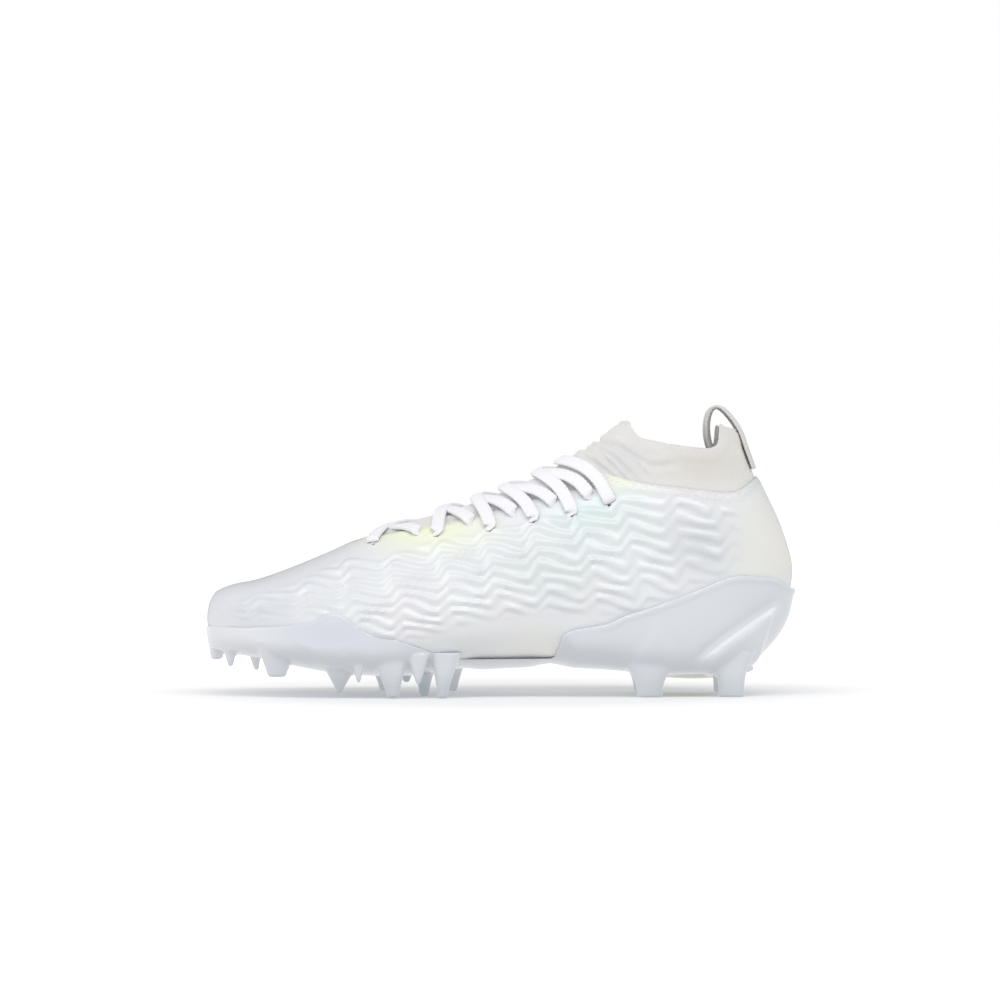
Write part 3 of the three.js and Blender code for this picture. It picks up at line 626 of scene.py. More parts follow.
def throat_block(name, extra, half_line):
    outline = [(x - (extra if k < 8 else 0), -(half + extra)) for k, (x, half) in enumerate(half_line)]
    mirrored = [(x, -y) for x, y in reversed(outline)]
    return block(name, outline + mirrored, RIDE_HEIGHT + 0.45 * UPPER_HEIGHT, RIDE_HEIGHT + 1.6 * UPPER_HEIGHT, "Z")


def sole_height(x):
    return np.interp(x, sections[:14, 0], sections[:14, 1])


def plan_reach(x, inset):
    """Outer and inner edge of the foot in plan, drawn in by an inset."""
    rows = section_at(np.linspace(0, 13, 400))
    half = np.interp(x, rows[:, 0], rows[:, 4])
    middle = np.interp(x, rows[:, 0], rows[:, 5])
    heel = np.sqrt(max(1 - max(1 - (LENGTH / 2 - inset - x) / (HEEL_WIDTH * 0.5), 0) ** 2, 0))
    toe = np.sqrt(max(1 - max(1 - (x - sections[0, 0] - inset) / (BALL_WIDTH * 0.42), 0) ** 2, 0))
    reach = max((half - inset) * min(heel, toe), 0.4 * MM)
    return middle - reach, middle + reach


def bed_block(name, inset, low, high, count=90):
    toe, heel = sections[0, 0] + inset, LENGTH / 2 - inset
    rings = []
    for share in (1 - np.cos(np.linspace(0, np.pi, count))) / 2:
        x = toe + (heel - toe) * np.clip(share, 0.0005, 0.9995)
        left, right = plan_reach(x, inset)
        z = sole_height(x)
        rings.append([(x, left, z + low), (x, right, z + low), (x, right, z + high), (x, left, z + high)])
    return ring_mesh(name, np.array(rings))


def pin(name, point, normal, radius, half_length, sides=20):
    """A short round bar along a direction, to punch a hole with."""
    turn = Vector(normal).to_track_quat("Z", "Y")
    angles = np.linspace(0, 2 * np.pi, sides, endpoint=False)
    rings = []
    for level in (-half_length, half_length):
        ring = [turn @ Vector((radius * math.cos(a), radius * math.sin(a), level)) for a in angles]
        rings.append([np.array(p) + point for p in ring])
    return ring_mesh(name, np.array(rings))


shell_grid = form_grid(SHELL_STEP, SHELL_AROUND, floor_level=SHELL_FLOOR)
shell = ring_mesh("shell", grown(shell_grid, shell_offset(shell_grid)))
combine(shell, ring_mesh("hollow", grown(form_grid(3 * MM, 110), -UPPER_WALL)), "DIFFERENCE")
combine(shell, above("collar_cut", COLLAR_LINE), "DIFFERENCE")
combine(shell, throat_block("throat_cut", 0, THROAT), "DIFFERENCE")
combine(shell, bed_block("bottom_cut", LASTING_MARGIN, -UPPER_HEIGHT / 4, UPPER_WALL + LASTING_REACH), "DIFFERENCE")
for hole_point, hole_normal in holes:
    combine(shell, pin("punch", hole_point, hole_normal, HOLE_DIAMETER / 2, 2 * UPPER_WALL), "DIFFERENCE")
for hole_point, hole_normal in holes:
    outwards = np.cross(hole_normal, (math.copysign(1, hole_point[1]), 0, 0))
    eye_point = hole_point + EYE_SHIFT * outwards / np.linalg.norm(outwards)
    combine(shell, pin("eye", eye_point, hole_normal, EYE_RADIUS, 2 * UPPER_WALL), "DIFFERENCE")
smooth_shading(shell, 40)
print("shell triangles:", triangle_count(shell))

# %% [markdown]
# ## The sock
#
# Inside the shell is a knit sock. It shows in the throat, as the tongue under the laces, and above the
# shell as the collar, with a soft rim round its top and a tab at the heel. Five creases run down from the
# front of the collar, where the knit bends. They are troughs moved in the grid one by one, with a roll beside
# each, and the knit itself is left to the bump.

# %% Sock
SOCK_TOP = smooth_line([place(*p) for p in [
    (0.120, 1.130), (0.196, 1.112), (0.2165, 1.113), (0.223, 1.075), (0.237, 1.037), (0.264, 1.019),
    (0.291, 1.005), (0.339, 0.990), (0.357, 0.995), (0.365, 1.018), (0.3675, 1.085), (0.371, 1.097),
    (0.383, 1.082), (0.450, 1.050)]], 0.8 * MM)
SOCK_INSET = UPPER_WALL + CLEARANCE
BAND_DEPTH = 7 * MM
BAND_RAISE = 0.45 * MM
RIM_ROUND = 0.9 * MM
CREASES = [
    # side-view line of each crease in mm, half width, depth
    {"line": [(44.0, 127.5), (48.6, 125.4), (55.7, 122.8), (59.6, 119.6), (64.1, 115.7), (67.4, 111.8), (72.6, 106)],
     "half": 1.1, "depth": 1.3},
    {"line": [(37.5, 123.0), (41.5, 121.5), (47.3, 119.6), (53.1, 113.8), (57.7, 109.2), (63.5, 104)],
     "half": 1.1, "depth": 1.3},
    {"line": [(41.0, 117.0), (46.0, 114.4), (52.5, 109.9), (58.0, 105)], "half": 1.0, "depth": 1.0},
    {"line": [(40.5, 125.0), (44.7, 123.4), (49.8, 120.6), (55.2, 116.2), (60.4, 110.8), (66.0, 105.5)],
     "half": 0.9, "depth": 0.9},
    {"line": [(57.7, 122.8), (64.1, 118.3), (70.0, 113.8), (75.2, 112.5), (81.6, 113.1), (88.1, 113.8)],
     "half": 1.3, "depth": 1.0},
]
DEEPEST_FOLD = 1.15 * MM
TONGUE_PUFF = 1.7 * MM


def rim_offset(x, z, line):
    """How much a wall thins near its free edge, so that the edge is round."""
    gap, _ = line_distance(x, z, line)
    near = np.clip(1 - gap / RIM_ROUND, 0, 1)
    return RIM_ROUND * (1 - np.sqrt(1 - near ** 2)) * 0.85


def sock_offset(points):
    x, z = points[..., 0], points[..., 2]
    gap, _ = line_distance(x, z, SOCK_TOP)
    band = (1 - smoothstep(gap, BAND_DEPTH - 3 * MM, BAND_DEPTH + 1 * MM)) * smoothstep(x, 54 * MM, 70 * MM)
    offset = BAND_RAISE * band
    fold = np.zeros(x.shape)
    for crease in CREASES:
        line = smooth_line(np.array(crease["line"]) * MM)
        distance, along = line_distance(x, z, line)
        depth = crease["depth"] * MM * (1 - smoothstep(along, 0.75, 1.0))
        half = crease["half"] * MM
        fold = fold + depth * (np.exp(-(distance / half) ** 2) - 0.35 * np.exp(-((distance / half - 2.4) / 1.2) ** 2))
    offset = offset - np.clip(fold, -DEEPEST_FOLD, DEEPEST_FOLD)
    y = points[..., 1]
    half_throat = np.interp(x, THROAT[:, 0], THROAT[:, 1])
    in_throat = smoothstep(half_throat - np.abs(y), 0.5 * MM, 4 * MM) * (z > 50 * MM)
    offset = offset + TONGUE_PUFF * in_throat * (1 - smoothstep(x, 36 * MM, 50 * MM)) * smoothstep(x, -66 * MM, -56 * MM)
    return offset - rim_offset(x, z, SOCK_TOP)


sock_grid = form_grid(1.1 * MM, 240)
sock = ring_mesh("knit_sock", grown(sock_grid, sock_offset(sock_grid) - SOCK_INSET))
sock_inner = form_grid(1.6 * MM, 170)
inner_offset = rim_offset(sock_inner[..., 0], sock_inner[..., 2], SOCK_TOP) - SOCK_INSET - SOCK_WALL
combine(sock, ring_mesh("sock_hollow", grown(sock_inner, inner_offset)), "DIFFERENCE")
region = above("sock_region", COLLAR_LINE, 7 * MM)
combine(region, throat_block("throat_region", 6 * MM, THROAT), "UNION")
combine(sock, region, "INTERSECT")
combine(sock, above("sock_top_cut", SOCK_TOP), "DIFFERENCE")
smooth_shading(sock, 45)
print("sock triangles:", triangle_count(sock))

# %% [markdown]
# ## The outsole
#
# One moulded piece: a plate under the foot, a bumper round the toe, claws at the ball and a wing up the
# heel, with blade studs. The wall is the last grown by the upper's clearance and the sole's own wall. The
# rolled lip of the wing and the raised fins are moved in the grid, so they flow out of the wall as they do in
# a mould, and the studs are joined on with flared roots.

# %% Outsole wall
HEEL_WING = smooth_line([place(*p) for p in [
    (0.083, 0.030), (0.098, 0.110), (0.112, 0.180), (0.176, 0.216), (0.208, 0.253), (0.254, 0.290),
    (0.299, 0.334), (0.338, 0.374), (0.383, 0.421), (0.420, 0.426), (0.460, 0.414), (0.485, 0.378),
    (0.520, 0.350)]])
REAR_FIN = [(0.462, 0.318), (0.417, 0.220), (0.372, 0.145), (0.341, 0.070), (0.345, -0.060),
            (0.414, -0.060), (0.428, 0.030), (0.441, 0.150)]
FRONT_FIN = [(0.262, 0.250), (0.226, 0.120), (0.212, 0.030), (0.214, -0.060), (0.300, -0.060),
             (0.302, 0.030), (0.296, 0.120)]
TOE_FACET = [(-0.352, 0.160), (-0.317, 0.085), (-0.290, 0.030), (-0.288, -0.060), (-0.240, -0.060),
             (-0.238, 0.060), (-0.262, 0.150)]
FIN_RAISE = 1.3 * MM
PLATE_EDGE = 0.060
FIN_RIDGE = smooth_line(np.array([(90, 13), (104, 24.5), (121, 36.5), (137, 46.5)]) * MM)
RIDGE_RAISE = 1.1 * MM
RIDGE_DIP = 0.8 * MM
RIDGE_HALF = 1.3 * MM
WRAP_FEATHER = 12 * MM
WRAP_RIM = 0.25 * MM


def fin_height(x, z, outline, ramp):
    outline = np.array([place(*p) for p in outline])
    gap, _ = line_distance(x, z, np.concatenate([outline, outline[:1]]))
    depth = np.where(inside(x, z, outline), gap, -gap)
    return smoothstep(depth, -0.4 * MM, ramp)


def outsole_offset(points):
    x, z = points[..., 0], points[..., 2]
    offset = np.full(x.shape, CLEARANCE + SOLE_WALL)
    wing_gap, _ = line_distance(x, z, HEEL_WING)
    lip = np.exp(-((wing_gap - 1.6 * MM) / (1.1 * MM)) ** 2) * smoothstep(x, 40 * MM, 60 * MM)
    offset += 0.7 * MM * lip
    offset += FIN_RAISE * fin_height(x, z, REAR_FIN, 2.2 * MM)
    offset += FIN_RAISE * 0.7 * fin_height(x, z, FRONT_FIN, 6 * MM)
    offset += FIN_RAISE * 0.8 * fin_height(x, z, TOE_FACET, 5 * MM)
    ridge_gap, ridge_run = line_distance(x, z, FIN_RIDGE)
    ridge_ends = smoothstep(ridge_run, 0.02, 0.25) * (1 - smoothstep(ridge_run, 0.85, 1.0))
    over_ridge = z > np.interp(x, FIN_RIDGE[:, 0], FIN_RIDGE[:, 1])
    dip = np.exp(-((ridge_gap / RIDGE_HALF - 2) / 1.6) ** 2) * over_ridge
    offset += (RIDGE_RAISE * np.exp(-(ridge_gap / RIDGE_HALF) ** 2) - RIDGE_DIP * dip) * ridge_ends
    offset -= rim_offset(x, z, HEEL_WING)
    wrap_gap, _ = line_distance(x, z, TOE_AND_BALL_WRAP)
    feather = (1 - smoothstep(wrap_gap, 0, WRAP_FEATHER)) * (x < 0)
    wing_front = (1 - smoothstep(wing_gap, 0, WRAP_FEATHER)) * (1 - smoothstep(x, 34 * MM, 62 * MM)) * (x > 0)
    feather = np.maximum(feather, wing_front)
    return offset - (SOLE_WALL - WRAP_RIM) * feather


outsole_grid = form_grid(1.3 * MM, 220, is_sole=True)
outsole = ring_mesh("outsole_plate", grown(outsole_grid, outsole_offset(outsole_grid)))
plate_line = np.array([place(-0.6, PLATE_EDGE), place(0.6, PLATE_EDGE)])
side_region = below("toe_region", TOE_AND_BALL_WRAP)
combine(side_region, below("wing_region", HEEL_WING), "UNION")
combine(side_region, below("plate_region", plate_line), "UNION")
combine(outsole, side_region, "INTERSECT")
print("outsole wall triangles:", triangle_count(outsole))

# %% Studs
ROOT_DEPTH = 9 * MM
SIDE_FLARE = 1.2
STUDS = [
    # x, y, height, foot length, foot width, root length, root width, lean x, lean y, flare
    (0.2500, -0.275, 0.00, 0.1289, 0.0670, 0.4850, 0.1600, 0.0000, -0.0052, 2.6),
    (0.2500, 0.275, 0.00, 0.1289, 0.0670, 0.4850, 0.1600, 0.0000, 0.0000, 2.6),
    (0.3870, -0.245, 0.00, 0.1289, 0.0670, 0.2700, 0.1300, -0.0103, 0.0103, 2.6),
    (0.3870, 0.245, 0.00, 0.1289, 0.0670, 0.2700, 0.1300, -0.0103, -0.0103, 2.6),
    (-0.0960, -0.400, 0.00, 0.0474, 0.0433, 0.1650, 0.1340, 0.0155, 0.0155, 1.3),
    (-0.0820, 0.385, 0.00, 0.0474, 0.0433, 0.1650, 0.1100, 0.0155, -0.0361, 1.3),
    (-0.1280, -0.150, 0.00, 0.0495, 0.0433, 0.1650, 0.1340, 0.0000, 0.0000, 1.4),
    (-0.1600, 0.130, 0.45, 0.0371, 0.0371, 0.1340, 0.1340, 0.0000, 0.0000, 1.2),
    (-0.1780, -0.415, 0.05, 0.0619, 0.0433, 0.2060, 0.1340, -0.0206, 0.0052, 1.3),
    (-0.1980, 0.400, 0.00, 0.0619, 0.0433, 0.2060, 0.1340, -0.0206, -0.0155, 1.3),
    (-0.2680, -0.330, 0.18, 0.0309, 0.0309, 0.2680, 0.1650, 0.0052, -0.0412, 1.2),
    (-0.2740, 0.330, 0.18, 0.0309, 0.0309, 0.2680, 0.1650, 0.0052, 0.0412, 1.2),
    (-0.2350, -0.440, 0.62, 0.0206, 0.0227, 0.0820, 0.0928, 0.0000, 0.0124, 1.0),
    (-0.1360, -0.440, 0.55, 0.0227, 0.0227, 0.1130, 0.0928, 0.0000, 0.0124, 1.0),
    (-0.3730, -0.300, 0.82, 0.0928, 0.0474, 0.2270, 0.1340, 0.0000, -0.0206, 1.2),
    (-0.3800, 0.330, 0.82, 0.0928, 0.0474, 0.2270, 0.1340, 0.0000, 0.0103, 1.2),
    (-0.4150, 0.110, 0.94, 0.0247, 0.0433, 0.1030, 0.0928, -0.0206, 0.0000, 1.0),
    (-0.4545, -0.110, 1.18, 0.0268, 0.0433, 0.1130, 0.1031, -0.0052, 0.0000, 1.0),
    (-0.4820, 0.075, 1.42, 0.0619, 0.1237, 0.1240, 0.2062, 0.0052, 0.0000, 1.2),
]
STUD_EDGE = 0.5 * MM


def stud(row, sides=36, steps=16):
    """A stud from its flat foot up into the plate, with a rounded foot edge and a flared root."""
    x, y, height, *sizes, flare = row
    foot_length, foot_width, root_length, root_width, lean_x, lean_y = (v * BALL_WIDTH for v in sizes)
    foot_z = height * RIDE_HEIGHT
    root_z = sole_height(x * LENGTH) + ROOT_DEPTH
    angles = np.linspace(0, 2 * np.pi, sides, endpoint=False)
    rises = np.concatenate([[0, 0.012, 0.03], np.linspace(0.06, 1, steps)])
    rings = []
    for k, rise in enumerate(rises):
        spread = rise ** flare
        side_spread = rise ** SIDE_FLARE
        drawn_in = STUD_EDGE * (1, 0.35, 0.08)[k] if k < 3 else 0
        long = (foot_length + (root_length - foot_length) * spread) / 2 - drawn_in
        wide = (foot_width + (root_width - foot_width) * side_spread) / 2 - drawn_in
        rings.append(np.stack([
            x * LENGTH + lean_x * spread + long * np.sign(np.cos(angles)) * np.abs(np.cos(angles)) ** 0.8,
            y * BALL_WIDTH + lean_y * side_spread + wide * np.sign(np.sin(angles)) * np.abs(np.sin(angles)) ** 0.8,
            np.full(sides, foot_z + (root_z - foot_z) * rise),
        ], axis=1))
    return ring_mesh("stud", np.array(rings))


HEEL_PAD_WIDTH = 34 * MM
HEEL_PAD_DROP = 3 * MM


def heel_pad(count=40, sides=40):
    rings = []
    angles = np.linspace(0, 2 * np.pi, sides, endpoint=False)
    for share in np.linspace(0, 1, count):
        x = LENGTH * (0.2 + 0.23 * share)
        swell = max(math.sin(math.pi * share), 0.02) ** 0.5
        rings.append(np.stack([
            np.full(sides, x),
            HEEL_PAD_WIDTH / 2 * swell * np.cos(angles),
            sole_height(x) + (SOLE_WALL + HEEL_PAD_DROP) * swell * np.sin(angles),
        ], axis=1))
    return ring_mesh("heel_pad", np.array(rings))


for row in STUDS:
    combine(outsole, stud(row), "UNION")
combine(outsole, heel_pad(), "UNION")
print("studs and pad joined:", triangle_count(outsole), "triangles")

# %% Melt the studs into the plate
MELT_VOXEL = 0.62 * MM
MELT_TURNS = 26
MELT_TOP = 9 * MM
FOOT_KEEP = 2.0 * MM
BOND_GAP = 0.08 * MM
OUTSOLE_TRIANGLES = 180000


def vertex_places(piece):
    places = np.empty(len(piece.data.vertices) * 3)
    piece.data.vertices.foreach_get("co", places)
    return places.reshape(-1, 3)


def weight_group(piece, name, weights):
    """A vertex group with one weight for each vertex, in twenty steps."""
    group = piece.vertex_groups.new(name=name)
    levels = np.round(weights * 20).astype(int)
    for level in range(1, 21):
        group.add(np.flatnonzero(levels == level).tolist(), level / 20, "REPLACE")
    return group


def melt(piece):
    """Remeshes a piece evenly and smooths it round the studs' roots, but not at their flat feet."""
    remesh = piece.modifiers.new("even", "REMESH")
    remesh.mode = "VOXEL"
    remesh.voxel_size = MELT_VOXEL
    bake_modifiers(piece)
    places = vertex_places(piece)
    x, z = places[:, 0], places[:, 2]
    low = 1 - smoothstep(z - sole_height(x), MELT_TOP - 6 * MM, MELT_TOP)
    weight_group(piece, "melt", low * smoothstep(z, FOOT_KEEP, 2 * FOOT_KEEP))
    soften = piece.modifiers.new("soften", "SMOOTH")
    soften.iterations = MELT_TURNS
    soften.factor = 0.5
    soften.vertex_group = "melt"
    bake_modifiers(piece)
    piece.vertex_groups.clear()


def thin_out(piece, wanted):
    count = triangle_count(piece)
    if count > wanted:
        fewer = piece.modifiers.new("fewer", "DECIMATE")
        fewer.ratio = wanted / count
        bake_modifiers(piece)


melt(outsole)
combine(outsole, ring_mesh("foot_room", grown(form_grid(2 * MM, 150), BOND_GAP)), "DIFFERENCE")
thin_out(outsole, OUTSOLE_TRIANGLES)
smooth_shading(outsole, 50)
print("outsole triangles:", triangle_count(outsole))

# %% [markdown]
# ## The footbed
#
# A thin foam board lies inside on the plate. It shows through the collar, so it gets the last's true outline.

# %% Footbed
footbed = ring_mesh("footbed_board", grown(form_grid(2.2 * MM, 170), -UPPER_WALL - CLEARANCE))
combine(footbed, bed_block("bed", 5 * MM, -UPPER_WALL, UPPER_WALL + CLEARANCE + 4 * MM), "INTERSECT")
smooth_shading(footbed, 50)
print("footbed triangles:", triangle_count(footbed))

# %% [markdown]
# ## The lace
#
# One lace runs through all the holes. It is swept along a given route: over the throat at each
# crossing, down through a hole, along the inside of the shell to the next hole and up again. The sweep is a
# flat oval with a braid pressed into it, which gives the knobbly edge that the photograph shows.

# %% Sweep along a path
def resample(points, step):
    return smooth_line(points, step)


def sweep(name, path, facing, half_width, half_thickness, sides, relief=None):
    """A closed strip of oval section along a path. facing is the direction that its flat side faces."""
    ahead = np.gradient(path, axis=0)
    ahead /= np.linalg.norm(ahead, axis=1, keepdims=True)
    side = np.cross(facing, ahead)
    side /= np.linalg.norm(side, axis=1, keepdims=True)
    up = np.cross(ahead, side)
    angles = np.linspace(0, 2 * np.pi, sides, endpoint=False)
    run = np.concatenate([[0], np.cumsum(np.linalg.norm(np.diff(path, axis=0), axis=1))])
    swell = 1 if relief is None else relief(run[:, None], angles[None, :])[..., None]
    flat = np.sign(np.cos(angles)) * np.abs(np.cos(angles)) ** LACE_SQUARE
    thick = np.sign(np.sin(angles)) * np.abs(np.sin(angles)) ** LACE_SQUARE
    across = side[:, None] * (half_width[:, None] * flat)[..., None]
    through = up[:, None] * (half_thickness[:, None] * thick)[..., None]
    return ring_mesh(name, path[:, None] + (across + through) * swell)


BRAID_STEP = 2.1 * MM


def braid(run, angle):
    """Plaited bumps: two sets of strands that wind opposite ways."""
    left = np.cos(4 * angle + 2 * np.pi * run / BRAID_STEP)
    right = np.cos(4 * angle - 2 * np.pi * run / BRAID_STEP)
    return 1 + 0.045 * (left + right)


# %% Lace route
UNDER_DEPTH = UPPER_WALL + CLEARANCE + 0.75 * MM
LACE_LIFT = 0.56
LACE_OVERLAY = 0.5
LACE_SQUARE = 0.72


def over_strand(start, crossing, end, stand_off, steps=14):
    """Points over the throat between two holes, and the direction that the lace faces there."""
    plan = smooth_line([start, crossing, end], 0.5 * MM)
    plan = plan[np.linspace(0, len(plan) - 1, steps).astype(int)]
    points, facings = [], []
    for k, (x, y) in enumerate(plan):
        point, normal = crown_at(x, y)
        bridge = math.sin(math.pi * k / (steps - 1)) ** 2
        lift = CLEARANCE + LACE_THICKNESS * (LACE_LIFT + stand_off * bridge)
        points.append(point + normal * lift)
        facings.append(normal)
    return points, facings


def under_run(start, end, steps=5):
    """Points between the shell and the foot from one hole to the next on the same side."""
    points, facings = [], []
    for share in np.linspace(0.12, 0.88, steps):
        point, normal = crown_at(start[0] + (end[0] - start[0]) * share, start[1] + (end[1] - start[1]) * share)
        points.append(point - normal * UNDER_DEPTH)
        facings.append(normal)
    return points, facings


def lace_route(first_side):
    """One half of the lace, from its first hole to the top, changing sides at every crossing."""
    side = first_side
    points, facings = [], []
    previous = None
    for front, rear, middle, front_side, rear_side, stand_off in LACE_CROSSINGS:
        start = (front * LENGTH, side * front_side * BALL_WIDTH)
        end = (rear * LENGTH, -side * rear_side * BALL_WIDTH)
        if previous is not None:
            more = under_run(previous, start)
            points += more[0]
            facings += more[1]
        else:
            point, normal = crown_at(*start)
            points.append(point - normal * UNDER_DEPTH)
            facings.append(normal)
        raised = stand_off + (LACE_OVERLAY if side < 0 else 0.0)
        more = over_strand(start, (middle * LENGTH, 0), end, raised)
        points += more[0]
        facings += more[1]
        previous = end
        side = -side
    top = (TOP_BAR["hole"] * LENGTH, side * TOP_BAR["side"] * BALL_WIDTH)
    more = under_run(previous, top)
    points += more[0]
    facings += more[1]
    return points, facings, top


def lace_piece(name, points, facings):
    path = resample(np.array(points), 0.45 * MM)
    share = np.linspace(0, 1, len(points))
    run = np.concatenate([[0], np.cumsum(np.linalg.norm(np.diff(points, axis=0), axis=1))])
    run /= run[-1]
    along = np.linspace(0, 1, len(path))
    facing = np.stack([np.interp(along, run, np.array(facings)[:, k]) for k in range(3)], axis=1)
    facing /= np.linalg.norm(facing, axis=1, keepdims=True)
    depth = np.array([(p - np.array(last_tree.find_nearest(Vector(p))[0])) @ f for p, f in zip(path, facing)])
    hidden = 1 - smoothstep(depth, -2.2 * MM, -0.6 * MM)
    half_width = (LACE_WIDTH / 2) * (1 - 0.25 * hidden)
    half_thickness = (LACE_THICKNESS / 2) * (1 - 0.35 * hidden)
    return sweep(name, path, facing, half_width, half_thickness, 20, braid)


outer_points, outer_facings, outer_top = lace_route(-1)
inner_points, inner_facings, inner_top = lace_route(1)
bar_points, bar_facings = over_strand(
    outer_top, (TOP_BAR["middle"] * LENGTH, 0), inner_top, TOP_BAR["stand_off"])
outer_points += bar_points
outer_facings += bar_facings
outer_points += [holes[-2][0] - holes[-2][1] * UNDER_DEPTH] if outer_top[1] > 0 else [holes[-1][0] - holes[-1][1] * UNDER_DEPTH]
outer_facings += [outer_facings[-1]]
laces = [lace_piece("lace_outer_start", outer_points, outer_facings),
         lace_piece("lace_inner_start", inner_points, inner_facings)]
print("lace triangles:", [triangle_count(lace) for lace in laces])

# %% [markdown]
# ## The pull loop
#
# A strap of ribbed webbing stands over the heel tab. It follows the same path as its solid, and its width
# bends round the heel, because both ends are sewn to a round collar.

# %% Pull loop
LOOP_WIDTH = 22 * MM
LOOP_THICKNESS = 1.5 * MM
LOOP_CURL = 0.8
LOOP_PATH = [
    # how far in front of the rear leg, as a share of the length, and height
    (0.0222, 0.836), (0.0330, 0.882), (0.0470, 0.927), (0.0560, 0.982), (0.0555, 1.045), (0.0485, 1.109),
    (0.0370, 1.160), (0.0225, 1.176), (0.0098, 1.145), (-0.0010, 1.073), (-0.0024, 0.982), (-0.0020, 0.900),
]
LOOP_RIBS = 11


def back_reach(y, z):
    hit = last_tree.ray_cast(Vector((LENGTH, y, z)), Vector((-1, 0, 0)))[0]
    return hit.x


def loop_strap(name, across=66, step=0.7 * MM):
    points = []
    for share, height in LOOP_PATH:
        inset, z = place(share, height)
        points.append((back_reach(0, z) - LOOP_THICKNESS / 2 - inset, z))
    path = smooth_line(points, step)
    ahead = np.gradient(path, axis=0)
    ahead /= np.linalg.norm(ahead, axis=1, keepdims=True)
    half = across // 2
    rings = []
    for share_along, (x, z), (dx, dz) in zip(np.linspace(0, 1, len(path)), path, ahead):
        outward = np.array([-dz, 0, dx])
        curl = 1 + LOOP_CURL * max(1 - 2 * share_along, 0)
        ring = []
        for side in (1, -1):
            for share in np.linspace(-1, 1, half):
                y = side * share * LOOP_WIDTH / 2
                recess = curl * (back_reach(0, z) - back_reach(y, z))
                edge = math.sqrt(max(1 - max((abs(share) - 0.93) / 0.07, 0) ** 2, 0.15))
                rib = 0.09 * MM * math.cos(math.pi * LOOP_RIBS * share) * edge
                thick = (LOOP_THICKNESS / 2 - 0.09 * MM) * edge + rib
                ring.append(np.array([x - recess, y, z]) + outward * side * thick)
        rings.append(ring)
    return ring_mesh(name, np.array(rings))


loop = loop_strap("webbing_loop")
smooth_shading(loop, 60)
print("loop triangles:", triangle_count(loop))

# %% [markdown]
# ## Shell finish: pearl film over knit
#
# The film is white, but it breaks the light like a pearl: green along the throat, pink and blue on the
# flank, warm at the heel. Most of the wide colour patches belong to the film, so they are placed in the
# shoe's own sizes and mixed softly. The near-white patch low in the middle is partly the beige of the fabric and
# partly painted light, which brightens the shell where it faces down. A thin film on the shader adds the shimmer that
# moves with the light, and a fine knit bump under it keeps the gloss from looking like plastic.

# %% Node helpers
def new_material(name, colour, roughness, **sockets):
    paint = bpy.data.materials.new(name)
    paint.use_nodes = True
    shader = paint.node_tree.nodes["Principled BSDF"]
    shader.inputs["Base Color"].default_value = (*colour, 1)
    shader.inputs["Roughness"].default_value = roughness
    for socket, value in sockets.items():
        shader.inputs[socket.replace("_", " ")].default_value = value
    return paint, paint.node_tree, shader


def add_node(tree, kind, inputs=(), **settings):
    """A node with its settings; inputs pairs a socket with a value or with another node's output."""
    node = tree.nodes.new(kind)
    for setting, value in settings.items():
        setattr(node, setting, value)
    for socket, value in dict(inputs).items():
        if isinstance(value, bpy.types.NodeSocket):
            tree.links.new(value, node.inputs[socket])
        else:
            node.inputs[socket].default_value = value
    return node


def math_node(tree, operation, first, second=0.0):
    return add_node(tree, "ShaderNodeMath", {0: first, 1: second}, operation=operation).outputs[0]


def object_position(tree):
    return tree.nodes.new("ShaderNodeTexCoord").outputs["Object"]


# the colour sockets of a mix node, which shares its socket names with the plain number ones
MIX_FIRST, MIX_SECOND, MIX_RESULT = 6, 7, 2


def colour_patches(tree, base, patches):
    """Soft round patches of colour over a base colour: rows of centre and reach in mm, colour, strength."""
    position = object_position(tree)
    colour = base
    for centre, reach, tint, strength in patches:
        shifted = add_node(tree, "ShaderNodeVectorMath", {0: position, 1: [c * MM for c in centre]},
                           operation="SUBTRACT").outputs[0]
        scaled = add_node(tree, "ShaderNodeVectorMath", {0: shifted, 1: [1 / (r * MM) for r in reach]},
                          operation="MULTIPLY").outputs[0]
        length = add_node(tree, "ShaderNodeVectorMath", {0: scaled}, operation="LENGTH").outputs["Value"]
        amount = add_node(tree, "ShaderNodeMapRange", {"Value": length, "From Min": 0.0, "From Max": 1.0,
                                                       "To Min": strength, "To Max": 0.0},
                          interpolation_type="SMOOTHERSTEP").outputs["Result"]
        start = colour if isinstance(colour, bpy.types.NodeSocket) else (*colour, 1)
        mix = add_node(tree, "ShaderNodeMix", {0: amount, MIX_FIRST: start, MIX_SECOND: (*tint, 1)}, data_type="RGBA")
        colour = mix.outputs[MIX_RESULT]
    return colour


def shade_mask(piece, name, measure):
    """Keeps a number per vertex, worked out from its place, for the shader to read by name."""
    layer = piece.data.attributes.new(name, "FLOAT", "POINT")
    places = vertex_places(piece)
    layer.data.foreach_set("value", measure(places).astype(np.float32))


def read_mask(tree, name):
    return add_node(tree, "ShaderNodeAttribute", attribute_name=name).outputs["Fac"]


def tint_by(tree, mask, colour, tint):
    """Mixes a tint over a colour where a mask is high."""
    start = colour if isinstance(colour, bpy.types.NodeSocket) else (*colour, 1)
    inputs = {0: mask, MIX_FIRST: start, MIX_SECOND: (*tint, 1)}
    return add_node(tree, "ShaderNodeMix", inputs, data_type="RGBA").outputs[MIX_RESULT]


def dress(piece, paint):
    """Gives a piece one material. Baked meshes bring an empty slot with them, so the list is cleared."""
    piece.data.materials.clear()
    piece.data.materials.append(paint)


def bump(tree, height, distance, strength=1.0, normal=None):
    inputs = {"Height": height, "Distance": distance, "Strength": strength}
    if normal is not None:
        inputs["Normal"] = normal
    return add_node(tree, "ShaderNodeBump", inputs).outputs["Normal"]


